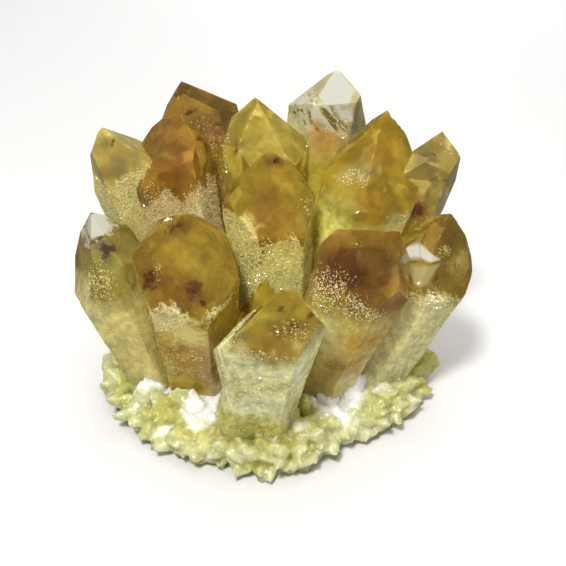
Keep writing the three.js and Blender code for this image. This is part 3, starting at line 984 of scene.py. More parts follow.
# crystal, field, corners as steps across and up the crystal's front, how far back the pane reaches
PANES = [
    # the white panes are fractured white stone, and on some facets a painted reflection of a bright light;
    # the sheen panes are a painted sheen on paler faces
    ("back_right", "chalk", [(-5.0, 80.0), (-2.0, 78.2), (4.0, 79.0), (5.4, 83.0), (0.0, 89.0)], -3.0),
    ("back_right", "sheen", [(5.0, 70.0), (9.0, 70.0), (8.0, 80.0), (6.0, 81.0)], 4.0),
    ("right", "chalk", [(-9.6, 44.2), (-6.8, 46.6), (-6.2, 49.0), (-9.6, 46.0)], 4.0),
    ("right", "chalk", [(-7.2, 46.4), (-1.8, 47.9), (-6.2, 49.2)], 4.0),
    ("right", "sheen", [(-10.2, 40.0), (-7.0, 41.8), (-4.0, 44.8), (-6.8, 45.6), (-9.8, 43.3)], 2.0),
    ("right", "sheen", [(-4.8, 44.2), (-2.0, 47.0), (-7.0, 45.7)], 2.0),
    ("left", "chalk", [(-2.6, 49.8), (2.6, 50.2), (2.2, 51.0), (-2.4, 51.0)], 3.0),
    ("left", "chalk", [(-5.0, 52.0), (2.0, 52.6), (4.2, 51.0), (4.8, 52.4), (0.0, 59.0), (-5.0, 56.0)], 9.0),
    ("front_right", "smoke",
     [(-9.5, 43.5), (-2.0, 47.5), (8.5, 54.0), (6.0, 58.6), (2.0, 60.6), (-12.0, 51.6)], 9.0),
]

# %% Loose glitter on the polish
# crystal, place in the crystal's axes, half width, half height, how thickly glitter lies there
GLITTER = [
    ("front_left", (-7, -4, 54), 1.0, 5.0, 0.5),
    ("front_left", (0, -11, 22), 9, 9, 0.35),
    ("front", (8, -8, 50), 5.5, 2.2, 0.5),
    ("front", (-2, -9, 43), 9, 2.0, 0.7),
    ("front", (0, -9, 30), 14, 12, 0.5),
    ("front_right", (-6, -7, 44), 7, 7.0, 1.0),
    ("front_right", (5, -8, 45.5), 8, 3.2, 1.0),
    ("front_right", (2, -9, 42), 6, 2.0, 0.8),
    ("front_right", (-6, -1, 57), 3, 1.5, 0.3),
    ("left", (7, -3, 41), 5, 8, 0.8),
    ("left_inner", (5, -11, 62), 6, 4, 0.4),
    ("back_left", (5, -6, 70), 6, 5, 0.2),
    ("back_middle", (-12, 0, 66), 1.5, 8, 0.6),
    ("back_right", (3, -11, 72), 5, 5, 0.5),
    ("back_right", (-8, -7, 74), 5, 5, 0.3),
    ("back_right", (-5, -11, 58), 1.5, 8, 0.4),
    ("middle", (9, -4, 58), 2.5, 7, 0.4),
    ("right_inner", (-8, -4, 63), 5, 3, 0.5),
    ("right_inner", (11, -9, 54), 6, 3, 0.4),
    ("right_high", (-2, -6, 72), 4, 3, 0.3),
    ("right", (0, -2, 50), 3.0, 1.4, 1.0),
    ("right", (-3, -10, 39), 7, 2, 0.8),
]
print(len(SOFT_PATCHES), "clouds,", len(KEEN_PATCHES) + len(PANES), "patches with an outline")


# %% How deep a point lies in a patch
# the white facets among these are partly a painted reflection, and the sheen is a painted sheen
KINDS = ("stain", "smoke", "chalk", "sugar", "milky", "sheen", "shattered")
PANE_EDGE = 3.0


def soft_colours(name, local, tone):
    """A colour drawn towards each cloud's colour, by its strength and by how near its middle lies."""
    for cloud, place, half_width, half_height, lean, strength in rows_of(SOFT_PATCHES, name):
        reach = egg_reach(local, place, half_width, half_height, lean)
        share = strength * smooth_step(1.5, 0.4, reach)
        tone += share[:, None] * (np.array(CLOUDS[cloud]) - tone)
    return tone


def pane_field(local, corners, behind):
    """One half on the outline of a flat-sided pane, and rising inwards.

    The corners run anticlockwise as seen from in front, so that a step out of the pane lies to the
    right of each side.
    """
    corners = np.array(corners)
    side = np.roll(corners, -1, axis=0) - corners
    out = np.column_stack([side[:, 1], -side[:, 0]]) / np.linalg.norm(side, axis=1)[:, None]
    beyond = ((local[:, None, [0, 2]] - corners) * out).sum(axis=-1).max(axis=1)
    beyond = np.maximum(beyond, local[:, 1] - behind)
    return np.clip(0.5 - beyond / (2 * PANE_EDGE), 0, 1)


def keen_fields(name, local, strayed):
    """The deepest of this crystal's patches of each kind: a pane's outline is straight, others stray."""
    fields = {kind: np.zeros(len(local)) for kind in KINDS}
    for kind, place, half_width, half_height, lean in rows_of(KEEN_PATCHES, name):
        depth = np.clip(1 - 0.5 * egg_reach(strayed, place, half_width, half_height, lean), 0, 1)
        fields[kind] = np.maximum(fields[kind], depth)
    for kind, corners, behind in rows_of(PANES, name):
        fields[kind] = np.maximum(fields[kind], pane_field(local, corners, behind))
    return fields


def glitter_share(name, local):
    """How thickly loose grains lie on the polish."""
    share = np.zeros(len(local))
    for place, half_width, half_height, amount in rows_of(GLITTER, name):
        near = smooth_step(1.3, 0.3, egg_reach(local, place, half_width, half_height))
        share = np.maximum(share, amount * near)
    return share


# %% Whose skin a point lies on, and how near an edge
RIM_WIDTH = 2.0


def owners(points):
    """The number of the crystal on whose skin each point lies."""
    off_skin = [np.maximum(*crystal.outside(crystal.local(points))) for crystal in crystals.values()]
    return np.abs(off_skin).argmin(axis=0)


def rim_field(crystal, local):
    """1 on an edge between two planes and 0 well off it, by how nearly equal the two least depths are."""
    depth = np.sort(crystal.reaches[:-1] - local @ crystal.normals[:-1].T, axis=1)
    return np.clip(1 - (depth[:, 1] - depth[:, 0]) / RIM_WIDTH, 0, 1)


# %% Work out the zones
# in millimetres: how far outlines stray, and how deep the edge of the polish is as a field
WANDER = 0.8
EDGE_DEPTH = 3.0
# clouds are blown further than outlines stray, and drift makes the colours differ by this share
BLOWN = 1.8
DRIFT = 0.10
# the polished skin shows the stone's own colour, and the grown skin at least this much of the body's
COLOURS = {"polished": 0.0, "grown": 0.4}
NUMBERS = ("side", "frost", "patchy", "milk", "haze", "rim", "glitter", *KINDS)


def zones(points):
    """Every vertex's two colours, its fields, and how frosty, milky and glittery it is."""
    owner = owners(points)
    wander = WANDER * np.stack([rough(points, 3.4, 2, salt) for salt in (61, 64, 67)], axis=1)
    ragged = 1.4 * noise(points, 6.0, 31) + 0.7 * noise(points, 1.8, 32)
    drift = rough(points, 7.0, 2, 71)[:, None]
    worn_off = smooth_step(-0.35, 0.35, rough(points, 7.0, 3, 111))
    zone = {key: np.zeros((len(points), 3)) for key in COLOURS}
    zone |= {key: np.zeros(len(points)) for key in NUMBERS}
    for index, (name, crystal) in enumerate(crystals.items()):
        mine = owner == index
        look = LOOKS[name]
        local = crystal.local(points[mine])
        strayed = local + wander[mine]
        blown = local + BLOWN * wander[mine]
        edge_x, edge_z = np.transpose(look["edge"])
        below = np.interp(local[:, 0], edge_x, edge_z) + ragged[mine] - local[:, 2]
        deep = smooth_step(-2, 7, below)[:, None]
        body, point = np.array(look["body"]), np.array(look["point"])
        for key, least in COLOURS.items():
            tone = soft_colours(name, blown, point + (least + 0.6 * deep) * (body - point))
            zone[key][mine] = tone * (1 + DRIFT * drift[mine])
        zone["side"][mine] = np.clip(0.5 + below / (2 * EDGE_DEPTH), 0, 1)
        zone["frost"][mine] = look["frost"]
        zone["patchy"][mine] = look["frost"] + (1 - look["frost"]) * worn_off[mine]
        zone["milk"][mine] = look["milk"] * smooth_step(-1, 7, below)
        zone["haze"][mine] = look["haze"]
        # rim: a painted highlight along the edges, where two planes nearly meet
        zone["rim"][mine] = look.get("rim", 1.0) * rim_field(crystal, local)
        zone["glitter"][mine] = glitter_share(name, strayed)
        for kind, field in keen_fields(name, local, strayed).items():
            zone[kind][mine] = field
    return zone


# %% Store the zones on the crystals
KEEN_ANGLE = 22


def write_zones(piece, colours, values):
    """Store colours and numbers on the piece's vertices, where its material reads them."""
    for name, colour in colours.items():
        solid = np.column_stack([np.clip(colour, 0, 1), np.ones(len(colour))])
        piece.data.attributes.new(name, "FLOAT_COLOR", "POINT").data.foreach_set("color", solid.ravel())
    for name, value in values.items():
        piece.data.attributes.new(name, "FLOAT", "POINT").data.foreach_set("value", np.clip(value, 0, 1))


def shaded_smooth(piece):
    """Blend the shading over the faces, apart from the edges that are marked as sharp."""
    piece.data.polygons.foreach_set("use_smooth", np.ones(len(piece.data.polygons), bool))


zone = zones(points_of(large) / MM)
stored_numbers = {key: zone[key] for key in NUMBERS if key != "glitter"}
write_zones(large, {key: zone[key] for key in COLOURS}, stored_numbers)
shaded_smooth(large)
large.data.set_sharp_from_angle(angle=np.radians(KEEN_ANGLE))
print("share of the vertices on grown sides:", round(float((zone["side"] > 0.5).mean()), 2))

# %% Each crystal's own axes, stored on the corners of its faces
ASIDE = 200.0


def own_axes(piece):
    """Each corner's place in its crystal's axes, with every crystal set aside from the last one."""
    corner_count, face_count = len(piece.data.loops), len(piece.data.polygons)
    corner_vertex, corners_each = np.empty(corner_count, np.int32), np.empty(face_count, np.int32)
    piece.data.loops.foreach_get("vertex_index", corner_vertex)
    piece.data.polygons.foreach_get("loop_total", corners_each)
    centre = np.empty(face_count * 3)
    piece.data.polygons.foreach_get("center", centre)
    owner = np.repeat(owners(centre.reshape(-1, 3) / MM), corners_each)
    points = points_of(piece)[corner_vertex] / MM
    local = np.empty_like(points)
    for index, crystal in enumerate(crystals.values()):
        mine = owner == index
        local[mine] = crystal.local(points[mine]) + (ASIDE * index, 0, 0)
    return local * MM


along_axes = large.data.attributes.new("along", "FLOAT_VECTOR", "CORNER")
along_axes.data.foreach_set("vector", own_axes(large).ravel())

# %% [markdown]
# ## Sugar
#
# Frosted quartz is covered in crystals as small as sugar, and each shows three
# faces that meet in a point. A pyramid with the three faces of a cube's corner
# has just that shape. Two crops are scattered over the skin where it is
# frosted, one coarse and one fine, with a few loose grains on the polish.

# %% One grain, and where grains lie
# how far a grain's foot is sunk into the skin, as a share of its size
SUNK = 0.12
TURNS = 2 * np.pi * np.arange(3) / 3
PYRAMID = np.array([*[(np.sqrt(2 / 3) * np.cos(t), np.sqrt(2 / 3) * np.sin(t), -SUNK) for t in TURNS],
                    (0, 0, 1 / np.sqrt(3) - SUNK)])
PYRAMID_FACES = np.array([(0, 1, 3), (1, 2, 3), (2, 0, 3), (2, 1, 0)])


def triangles_of(piece):
    """Corner numbers of the piece's triangles."""
    piece.data.calc_loop_triangles()
    flat = np.empty(len(piece.data.loop_triangles) * 3, np.int32)
    piece.data.loop_triangles.foreach_get("vertices", flat)
    return flat.reshape(-1, 3)


def inside(field):
    """1 inside a field's outline and 0 outside it, with a soft edge."""
    return smooth_step(0.4, 0.6, field)


def frosting(zone):
    """How thickly grains lie on each vertex of the frosted sides and the sugared patches."""
    side = inside(zone["side"]) * zone["frost"] * zone["patchy"]
    return np.maximum(side**2, inside(zone["sugar"]))


# %% Scatter the grains
GRAINS = 49000
GRAIN_LEAN = 0.35
PALE_GRAIN = (0.92, 0.84, 0.46)


def grain_mesh(name, piece, thickness, tone, paleness, seed, sizes):
    """Pyramids at random places on the triangles, by area and thickness.

    Each stands along the skin's normal plus a random lean, and most are small.
    """
    random = np.random.default_rng(seed)
    points = points_of(piece) / MM
    corners = triangles_of(piece)
    a, b, c = points[corners].transpose(1, 0, 2)
    normal = np.cross(b - a, c - a)
    area = np.linalg.norm(normal, axis=1) / 2
    weight = area * thickness[corners].mean(axis=1)
    chosen = random.choice(len(corners), GRAINS, p=weight / weight.sum())
    u, v = random.random((2, GRAINS))
    over = u + v > 1
    u[over], v[over] = 1 - u[over], 1 - v[over]
    at = a[chosen] + u[:, None] * (b - a)[chosen] + v[:, None] * (c - a)[chosen]
    up = normal[chosen] / (2 * area[chosen])[:, None] + GRAIN_LEAN * random.normal(size=(GRAINS, 3))
    up /= np.linalg.norm(up, axis=1)[:, None]
    side = np.cross(up, random.normal(size=(GRAINS, 3)))
    side /= np.linalg.norm(side, axis=1)[:, None]
    axes = np.stack([side, np.cross(up, side), up], axis=1)
    small, big = sizes
    size = small + (big - small) * random.random(GRAINS) ** 2
    shape = (PYRAMID[None] * size[:, None, None]) @ axes + at[:, None, :]
    corner_count = len(PYRAMID)
    faces = PYRAMID_FACES[None] + corner_count * np.arange(GRAINS)[:, None, None]
    grains = new_object(name, shape.reshape(-1, 3) * MM, faces.reshape(-1, 3))
    first = corners[chosen, 0]
    shades = tone[first] + paleness[first][:, None] * (np.array(PALE_GRAIN) - tone[first])
    write_zones(grains, {"tone": np.repeat(shades, corner_count, axis=0)}, {})
    print(name, GRAINS, "grains,", GRAINS * len(PYRAMID_FACES), "triangles")
    return grains


# %% Two crops of sugar
# paleness of all grains, the painted sparkle that glitter adds to it, and how much of glitter a sugared
# patch has
PALENESS = 0.40
SPARKLE = 0.5
SUGAR_SPARKLE = 0.4
# how thickly loose glitter lies beside full frost
COARSE_GLITTER = 0.22
FINE_GLITTER = 0.95

frost = frosting(zone)
# grains are paler where glitter lies: a painted sparkle
paleness = PALENESS + SPARKLE * np.maximum(zone["glitter"], SUGAR_SPARKLE * inside(zone["sugar"]))
few = np.maximum(frost, COARSE_GLITTER * zone["glitter"])
many = np.maximum(frost, FINE_GLITTER * zone["glitter"])
coarse = grain_mesh("coarse_sugar", large, few, zone["grown"], paleness, seed=3, sizes=(0.34, 0.62))
fine = grain_mesh("fine_sugar", large, many, zone["grown"], paleness, seed=4, sizes=(0.20, 0.40))

# %% [markdown]
# ## Colours of the crust
#
# The crust is milky quartz, stained lemon yellow where it has grown into small
# crystals, and more golden in the hollows between them. The tips of the small
# crystals are paler again, because they are thin.

# %% Colour zones of the crust
LEMON = np.array([0.65, 0.65, 0.18])
CREAM = np.array([0.75, 0.75, 0.43])
MILK = np.array([0.90, 0.89, 0.82])
OCHRE = np.array([0.60, 0.55, 0.12])
TIP = np.array([0.86, 0.84, 0.50])
# hollows without milk: place across and into the cake, and radius
POCKETS = [((9, -30), 5), ((5, -39), 4), ((-16, -36), 4), ((-3, -42), 5)]
# the middle of the stoutest stub, which is golden all through
CHUNK = np.array(STUBS[0]["place"]) + (6, 0, 1)


def crust_tone(points):
    """A colour, and how clear the stone is there.

    Lemon and cream lie at the edge, milk between the feet of the large crystals and ochre in the
    pockets, and the tips are pale.
    """
    angle = np.arctan2(points[:, 1], points[:, 0])
    share = np.hypot(points[:, 0], points[:, 1]) / rim_at(angle)
    drift = rough(points, 8.0, 3, 81)
    creamy = smooth_step(-0.7, 0.8, rough(points, 4.5, 3, 101))
    milky = np.maximum(smooth_step(0.10, 0.55, 0.7 * drift + 1.9 * (0.94 - share)), milk_share(points))
    pocket = smooth_step(0.0, 0.6, rough(points, 6.0, 2, 91)) * 0.6
    for patch in POCKETS:
        deep = smooth_step(1.4, 0.4, far_from(points, [patch]))
        milky, pocket = milky * (1 - deep), np.maximum(pocket, 0.8 * deep)
    chunk = smooth_step(15, 9, np.linalg.norm(points - CHUNK, axis=1))
    tip = smooth_step(1.02, 1.16, share) * 0.6 * (1 - chunk)
    tone = LEMON + creamy[:, None] * (CREAM - LEMON)
    for amount, colour in ((pocket, OCHRE), (milky, MILK), (tip, TIP), (0.6 * chunk, OCHRE)):
        tone += amount[:, None] * (colour - tone)
    return tone * (1 + 0.05 * rough(points, 2.0, 2, 95))[:, None], 1 - milky


crust, crust_clear = crust_tone(points_of(druse) / MM)
write_zones(druse, {"tone": crust}, {"clear": crust_clear})
shaded_smooth(druse)
print("milky share of the crust:", round(float((crust_clear < 0.5).mean()), 2))

# %% [markdown]
# ## Materials
#
# Quartz bends light by 1.544 and swallows a little blue on the way, which makes
# it honey coloured in depth. Where it is polished it lets most of the light
# through. Where it is milky or frosted it scatters light back, which a share of
# subsurface light does here. Each frosted spot is a mosaic of tiny faces, so the
# normal is tilted by another amount in each cell of a cell pattern.

# %% Short ways to make nodes
QUARTZ_IOR = 1.544
# most of a noise texture's values lie between these
NOISE_LOW, NOISE_HIGH = 0.3, 0.7


def material(name):
    """A new material with its node tree and its Principled shader."""
    made = bpy.data.materials.new(name)
    made.use_nodes = True
    return made, made.node_tree, made.node_tree.nodes["Principled BSDF"]


def set_sockets(made, values):
    """Give a node's own sockets plain values."""
    for name, value in values.items():
        made.inputs[name].default_value = value


def dress(piece, look):
    """Give a piece one material."""
    piece.data.materials.clear()
    piece.data.materials.append(look)


def node(tree, kind, **values):
    """A new node of a kind, with some of its settings."""
    made = tree.nodes.new("ShaderNode" + kind)
    for key, value in values.items():
        setattr(made, key, value)
    return made


def stored(tree, name, output="Fac"):
    """The socket of a number, colour or vector that is stored on the mesh."""
    return node(tree, "Attribute", attribute_name=name).outputs[output]


# %% Numbers put to work
def ranged(tree, source, low, high, from_low=0.0, from_high=1.0):
    """A socket's value carried from one range to another, and held at its ends."""
    made = node(tree, "MapRange")
    set_sockets(made, {"From Min": from_low, "From Max": from_high, "To Min": low, "To Max": high})
    tree.links.new(source, made.inputs["Value"])
    return made.outputs["Result"]


def swung(tree, source, low, high):
    """Noise carried to a range that its usual values fill."""
    return ranged(tree, source, low, high, NOISE_LOW, NOISE_HIGH)


def worked(tree, operation, first, second):
    """Two sockets put through one sum, such as MULTIPLY."""
    made = node(tree, "Math", operation=operation)
    tree.links.new(first, made.inputs[0])
    tree.links.new(second, made.inputs[1])
    return made.outputs["Value"]


def product(tree, first, *others):
    """All the numbers multiplied together."""
    for other in others:
        first = worked(tree, "MULTIPLY", first, other)
    return first


def cut_out(tree, field, grit, raggedness, blur):
    """1 where a stored field is over one half and 0 elsewhere, with an outline that noise makes ragged."""
    shifted = worked(tree, "ADD", stored(tree, field), swung(tree, grit, -raggedness, raggedness))
    return ranged(tree, shifted, 0.0, 1.0, 0.5 - blur, 0.5 + blur)


# %% Patterns and colours
def noise_socket(tree, place, scale, detail, warp=0.0):
    """Cloudy noise from 0 to 1 with so many lumps to a metre."""
    made = node(tree, "TexNoise")
    set_sockets(made, {"Scale": scale, "Detail": detail, "Distortion": warp})
    tree.links.new(place, made.inputs["Vector"])
    return made.outputs["Fac"]


def stretched(tree, place, stretch, lean=0.0):
    """A place turned by a lean in degrees, then divided by how far a pattern is drawn out on each axis."""
    made = node(tree, "Mapping", vector_type="TEXTURE")
    set_sockets(made, {"Rotation": (0, np.radians(lean), 0), "Scale": stretch})
    tree.links.new(place, made.inputs["Vector"])
    return made.outputs["Vector"]


def times(tree, colour, factor):
    """A colour made lighter or darker by a factor."""
    made = node(tree, "VectorMath", operation="SCALE")
    tree.links.new(colour, made.inputs[0])
    tree.links.new(factor, made.inputs["Scale"])
    return made.outputs["Vector"]


def mixed(tree, share, first, second, blend="MIX"):
    """A colour drawn by a share towards a second one, which may be a plain colour."""
    made = node(tree, "MixRGB", blend_type=blend)
    tree.links.new(share, made.inputs["Fac"])
    tree.links.new(first, made.inputs["Color1"])
    if isinstance(second, tuple):
        made.inputs["Color2"].default_value = (*second, 1)
    else:
        tree.links.new(second, made.inputs["Color2"])
    return made.outputs["Color"]


# %% Depth, tiny faces and grooves
def absorbing(tree, colour, density):
    """Light that goes deep into the stone turns the colour of the stone."""
    within = node(tree, "VolumeAbsorption")
    set_sockets(within, {"Color": (*colour, 1), "Density": density})
    tree.links.new(within.outputs["Volume"], tree.nodes["Material Output"].inputs["Volume"])


def tiny_faces(tree, place, size, amount):
    """A normal tilted by another amount in each cell of a cell pattern, and a random number for each."""
    cells = node(tree, "TexVoronoi")
    cells.inputs["Scale"].default_value = 1 / (size * MM)
    tree.links.new(place, cells.inputs["Vector"])
    centred = node(tree, "VectorMath", operation="SUBTRACT")
    centred.inputs[1].default_value = (0.5, 0.5, 0.5)
    tree.links.new(cells.outputs["Color"], centred.inputs[0])
    added = node(tree, "VectorMath", operation="ADD")
    tree.links.new(node(tree, "NewGeometry").outputs["Normal"], added.inputs[0])
    tree.links.new(times(tree, centred.outputs["Vector"], amount), added.inputs[1])
    unit = node(tree, "VectorMath", operation="NORMALIZE")
    tree.links.new(added.outputs["Vector"], unit.inputs[0])
    apart = node(tree, "SeparateColor")
    tree.links.new(cells.outputs["Color"], apart.inputs["Color"])
    return unit.outputs["Vector"], apart.outputs["Green"]


def grooved(tree, height, strength, depth, normal):
    """A normal that a height pattern dents."""
    made = node(tree, "Bump")
    made.inputs["Distance"].default_value = depth
    tree.links.new(height, made.inputs["Height"])
    tree.links.new(strength, made.inputs["Strength"])
    tree.links.new(normal, made.inputs["Normal"])
    return made.outputs["Normal"]


# %% [markdown]
# ### The large crystals' quartz
#
# The material is built in three steps. First each zone is cut out of its field,
# and flaws such as wisps and cracks, and a painted highlight along the edges,
# are made from noise. Then the colours are laid over one another like glazes.
# Last comes how clear the stone is: each zone lets through only a share of the
# light that the one below does.

# %% Cut out the zones
# field, how far noise moves its outline, and how soft the outline is
CUTS = {
    "sugar": (0.22, 0.10),
    "milky": (0.22, 0.22),
    "stain": (0.22, 0.15),
    "smoke": (0.05, 0.10),
    # the white facets, partly a painted reflection, and the painted sheen have keen outlines
    "chalk": (0.02, 0.05),
    "sheen": (0.02, 0.05),
    "shattered": (0.15, 0.10),
}
SIDE_CUT = (0.20, 0.05)


def zone_masks(tree, place, along):
    """A number for each zone: 1 inside its ragged outline and 0 outside."""
    grit = noise_socket(tree, place, 620, 7.0)
    spikes = noise_socket(tree, stretched(tree, along, (1, 1, 2.6)), 700, 6.0)
    mask = {field: cut_out(tree, field, grit, *cut) for field, cut in CUTS.items()}
    mask["side"] = cut_out(tree, "side", spikes, *SIDE_CUT)
    frost = product(tree, mask["side"], stored(tree, "frost"), stored(tree, "patchy"))
    mask["frosted"] = worked(tree, "MAXIMUM", frost, mask["sugar"])
    mask["milk"] = product(tree, mask["side"], stored(tree, "milk"))
    mask["haze"] = stored(tree, "haze")
    return mask


# %% Wisps, slivers and a painted highlight along the edges
def veils(tree, along):
    """Thin wisps of tiny bubbles inside the stone: the crests of a drawn-out, finely broken noise."""
    wispy = noise_socket(tree, stretched(tree, along, (1, 1, 2.2), 25), 170, 9.0, 0.9)
    crest = ranged(tree, wispy, 0.0, 1.0, 0.56, 0.72)
    some = ranged(tree, noise_socket(tree, along, 75, 1.0), 0.0, 1.0, 0.46, 0.60)
    return product(tree, crest, some)


def splinters(tree, along):
    """Slanting slivers of broken stone, as numbers from 0, a dark crack, to 1, a white sliver."""
    return noise_socket(tree, stretched(tree, along, (3.0, 1, 0.7), 38), 330, 6.0, 0.5)


def flaw_masks(tree, place, along, mask):
    """Wisps in the clear stone, a painted highlight along the edges, and the white slivers and dark cracks
    of shattered stone.
    """
    side, shattered = mask["side"], mask["shattered"]
    # a painted highlight along the polished edges, broken up by noise
    glint_noise = noise_socket(tree, place, 420, 5.0)
    near_edge = worked(tree, "ADD", stored(tree, "rim"), ranged(tree, glint_noise, -0.26, 0.02, 0.38, 0.66))
    edge_glints = ranged(tree, near_edge, 0.0, 0.40, 0.84, 0.98)
    slivers = splinters(tree, along)
    bright = product(tree, shattered, ranged(tree, slivers, 0.0, 1.0, 0.46, 0.54))
    return {
        "wisps": product(tree, veils(tree, along), ranged(tree, side, 0.5, 0.0)),
        "rim": product(tree, edge_glints, ranged(tree, side, 1.0, 0.3)),
        # white slivers, and white facets that are partly a painted reflection
        "white": worked(tree, "MAXIMUM", mask["chalk"], bright),
        "crack": product(tree, shattered, ranged(tree, slivers, 1.0, 0.0, 0.38, 0.43)),
    }


# %% Lay the colours over one another
# zone, colour and how it is laid on, from the lowest glaze to the highest
GLAZES = [
    ("milky", (0.68, 0.58, 0.19), "MIX"),
    ("sugar", (0.60, 0.55, 0.25), "MIX"),
    ("smoke", (0.66, 0.54, 0.48), "MULTIPLY"),
    ("stain", (0.27, 0.18, 0.15), "MULTIPLY"),
    ("wisps", (0.80, 0.71, 0.30), "MIX"),
    # a painted highlight along the edges
    ("rim", (0.76, 0.69, 0.32), "MIX"),
    ("crack", (0.34, 0.31, 0.22), "MULTIPLY"),
    # a painted sheen on a few paler faces
    ("sheen", (0.34, 0.29, 0.12), "MIX"),
    # white slivers of broken stone, and white facets that are partly a painted reflection
    ("white", (0.45, 0.44, 0.37), "MIX"),
]


def quartz_colour(tree, place, along, mask, clouds):
    """The stored colours, made uneven by three noises, under the glazes."""
    streaks = noise_socket(tree, stretched(tree, along, (1, 1, 3)), 320, 5.0, 0.3)
    mottle = noise_socket(tree, place, 480, 8.0)
    tone = mixed(tree, mask["side"], stored(tree, "polished", "Color"), stored(tree, "grown", "Color"))
    tone = times(tree, tone, swung(tree, streaks, 0.87, 1.13))
    tone = times(tree, tone, swung(tree, clouds, 0.90, 1.10))
    tone = times(tree, tone, swung(tree, mottle, 0.90, 1.10))
    tone = mixed(tree, mask["milk"], tone, times(tree, tone, swung(tree, mottle, 0.74, 1.28)))
    for name, colour, blend in GLAZES:
        tone = mixed(tree, mask[name], tone, colour, blend)
    return tone


# %% How clear it is, and the whole material
# the share of light that each zone lets through
CLEARNESS = {
    "milk": 0.1,
    "haze": 0.0,
    "milky": 0.2,
    # the painted sheen, and the white facets that are partly a painted reflection, let little light through
    "sheen": 0.3,
    "white": 0.0,
    "frosted": 0.4,
    "stain": 0.7,
    "wisps": 0.4,
    # the painted highlight along the edges lets little light through
    "rim": 0.2,
}


def quartz_material():
    """Clear polish, milky grown sides, and a mosaic of tiny faces where the stone is frosted."""
    made, tree, shader = material("golden_quartz")
    link = tree.links.new
    place = node(tree, "TexCoord").outputs["Object"]
    along = stored(tree, "along", "Vector")
    clouds = noise_socket(tree, place, 120, 4.0, 0.3)
    mask = zone_masks(tree, place, along)
    mask |= flaw_masks(tree, place, along, mask)
    side, frosted = mask["side"], mask["frosted"]

    tone = quartz_colour(tree, place, along, mask, clouds)
    normal, each = tiny_faces(tree, place, 0.42, ranged(tree, frosted, 0.0, 0.9))
    speckled = times(tree, tone, ranged(tree, each, 0.80, 1.25))
    link(mixed(tree, frosted, tone, speckled), shader.inputs["Base Color"])

    level_lines = noise_socket(tree, stretched(tree, along, (7, 7, 1)), 1200, 3.0)
    dents = grooved(tree, level_lines, ranged(tree, side, 0.0, 0.5), 0.0002, normal)
    link(dents, shader.inputs["Normal"])
    dull = worked(tree, "MAXIMUM", ranged(tree, side, 0.07, 0.25), ranged(tree, frosted, 0.07, 0.3))
    link(dull, shader.inputs["Roughness"])
    through = [ranged(tree, mask[name], 1.0, least) for name, least in CLEARNESS.items()]
    clear = product(tree, *through, ranged(tree, clouds, 1.0, 0.82, 0.45, 0.68))
    link(ranged(tree, clear, 0.05, 0.82), shader.inputs["Transmission Weight"])
    set_sockets(shader, {
        "Subsurface Weight": 0.6,
        "Subsurface Radius": (1.0, 0.7, 0.2),
        "Subsurface Scale": 0.004,
        "IOR": QUARTZ_IOR,
    })
    absorbing(tree, (1.0, 0.84, 0.35), 20)
    return made


dress(large, quartz_material())
print("golden quartz:", len(large.data.materials[0].node_tree.nodes), "nodes")

# %% [markdown]
# ### The sugar
#
# Each grain already has three flat faces of its own, so its material stays
# plain. It takes the colour stored on the grain, a little lighter or darker from
# place to place, and lets a third of the light through.


# %% Small bright faces
def sugar_material():
    """Small bright faces, a little clear, and no two quite the same."""
    made, tree, shader = material("quartz_sugar")
    place = node(tree, "TexCoord").outputs["Object"]
    fleck = noise_socket(tree, place, 1500, 2.0)
    tone = times(tree, stored(tree, "tone", "Color"), swung(tree, fleck, 0.80, 1.30))
    tree.links.new(tone, shader.inputs["Base Color"])
    set_sockets(shader, {"Roughness": 0.14, "IOR": QUARTZ_IOR, "Transmission Weight": 0.3})
    return made


sugar = sugar_material()
for grains in (coarse, fine):
    dress(grains, sugar)
print("sugar on", coarse.name, "and", fine.name)

# %% [markdown]
# ### The crust
#
# Milky quartz glows from within, because light goes in, scatters and comes out
# again a few millimetres away. Subsurface light does that here. The yellow parts
# are a little clearer, and a faint mosaic of tiny faces breaks up the shine.


# %% Milk quartz that light soaks into
def druse_material():
    """Milk quartz, a little clearer where it is yellow, with a faint mosaic of tiny faces."""
    made, tree, shader = material("milky_druse")
    link = tree.links.new
    place = node(tree, "TexCoord").outputs["Object"]
    cloud = noise_socket(tree, place, 260, 5.0)
    normal, each = tiny_faces(tree, place, 0.55, swung(tree, cloud, 0.2, 0.5))
    shaded = times(tree, stored(tree, "tone", "Color"), swung(tree, cloud, 0.92, 1.08))
    shaded = times(tree, shaded, ranged(tree, each, 0.90, 1.08))
    link(shaded, shader.inputs["Base Color"])
    link(normal, shader.inputs["Normal"])
    link(ranged(tree, stored(tree, "clear"), 0.0, 0.36), shader.inputs["Transmission Weight"])
    link(swung(tree, cloud, 0.20, 0.42), shader.inputs["Roughness"])
    set_sockets(shader, {
        "Subsurface Weight": 0.9,
        "Subsurface Radius": (1.0, 0.9, 0.5),
        "Subsurface Scale": 0.006,
        "IOR": QUARTZ_IOR,
    })
    return made


dress(druse, druse_material())
print("crust:", druse.data.materials[0].name)

# %% [markdown]
# ## Place in the frame
#
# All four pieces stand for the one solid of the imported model: the crystals, the
# crust, and the two crops of sugar on them.

# %% Ride and replace
for piece in (large, druse, coarse, fine):
    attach(piece, "root")
    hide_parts("quartz_cluster")
print("placed", large.name, druse.name, coarse.name, fine.name)

# %% [markdown]
# ## Floor, light and camera
#
# A plain pale floor shows the outline and carries a soft shadow. A small key
# light from above and in front picks out the faces, and wide dim ones fill in
# from above, behind and the right. The stone is glossy, so only the key is
# mirrored in it: the others and the floor would lay a white veil over it.

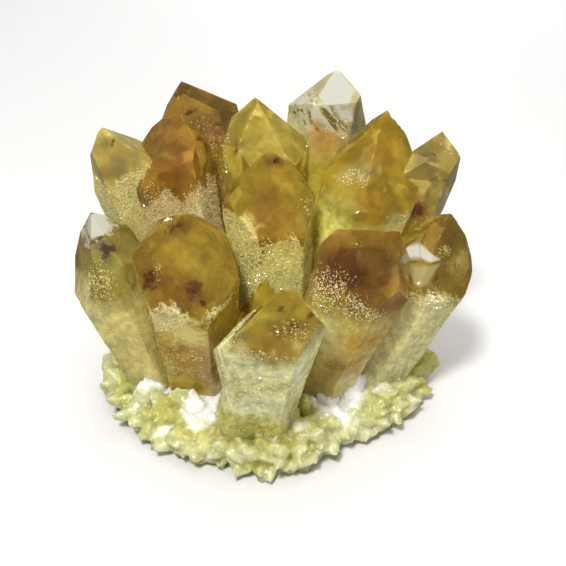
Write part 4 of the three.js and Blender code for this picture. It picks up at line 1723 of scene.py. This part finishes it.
# %% The floor
FLOOR_REACH = 4.0
corners = [(x * FLOOR_REACH, y * FLOOR_REACH, 0) for x, y in ((-1, -1), (1, -1), (1, 1), (-1, 1))]
floor = new_object("floor", np.array(corners), [(0, 1, 2, 3)])
floor_look, _, floor_shader = material("pale_floor")
set_sockets(floor_shader, {"Base Color": (0.64, 0.63, 0.61, 1), "Roughness": 0.7})
dress(floor, floor_look)
print("floor", 2 * FLOOR_REACH, "m wide")

# %% Soft lights
MIDDLE = (0, 0, 0.045)


def soft_light(name, place, size, power):
    """A square area light at a place, aimed at the middle of the cluster."""
    data = bpy.data.lights.new(name, "AREA")
    data.size = size
    data.energy = power
    lamp = bpy.data.objects.new(name, data)
    lamp.location = place
    lamp.rotation_euler = (Vector(MIDDLE) - Vector(place)).to_track_quat("-Z", "Y").to_euler()
    lamp.visible_camera = False
    bpy.context.scene.collection.objects.link(lamp)
    return lamp


soft_light("key", (-0.154, -0.423, 0.766), 0.14, 8)
top = soft_light("top", (0.1, 0.15, 1.1), 1.1, 10)
behind = soft_light("behind", (0.1, 0.7, 0.25), 0.4, 2)
fill = soft_light("fill", (0.42, -0.70, 0.24), 0.5, 1.4)
for unmirrored in (top, behind, fill, floor):
    unmirrored.visible_glossy = False

world = bpy.data.worlds.new("room")
bpy.context.scene.world = world
world.use_nodes = True
set_sockets(world.node_tree.nodes["Background"], {"Color": (0.9, 0.93, 1.0, 1), "Strength": 0.18})

# %% The camera
IMAGE_SIDE = 566
FOCAL_PIXELS = 960.0
SENSOR = 36.0
LOOK_DOWN = np.radians(34)
AIM = np.array([4.0, 0.0, 39.0]) * MM
AWAY = 294.0 * MM
camera_data = bpy.data.cameras.new("camera")
camera_data.sensor_width = SENSOR
camera_data.lens = FOCAL_PIXELS * SENSOR / IMAGE_SIDE
camera_data.clip_start = 0.01
camera = bpy.data.objects.new("camera", camera_data)
camera.location = AIM - AWAY * np.array([0, np.cos(LOOK_DOWN), -np.sin(LOOK_DOWN)])
camera.rotation_euler = (np.pi / 2 - LOOK_DOWN, 0, 0)
bpy.context.scene.collection.objects.link(camera)
bpy.context.scene.camera = camera
bpy.context.scene.view_settings.view_transform = "Standard"
print("lens", round(camera_data.lens, 1), "mm")

# %% [markdown]
# ## Close
#
# The scene is brought up to date.

# %% Bring the scene up to date
bpy.context.view_layer.update()
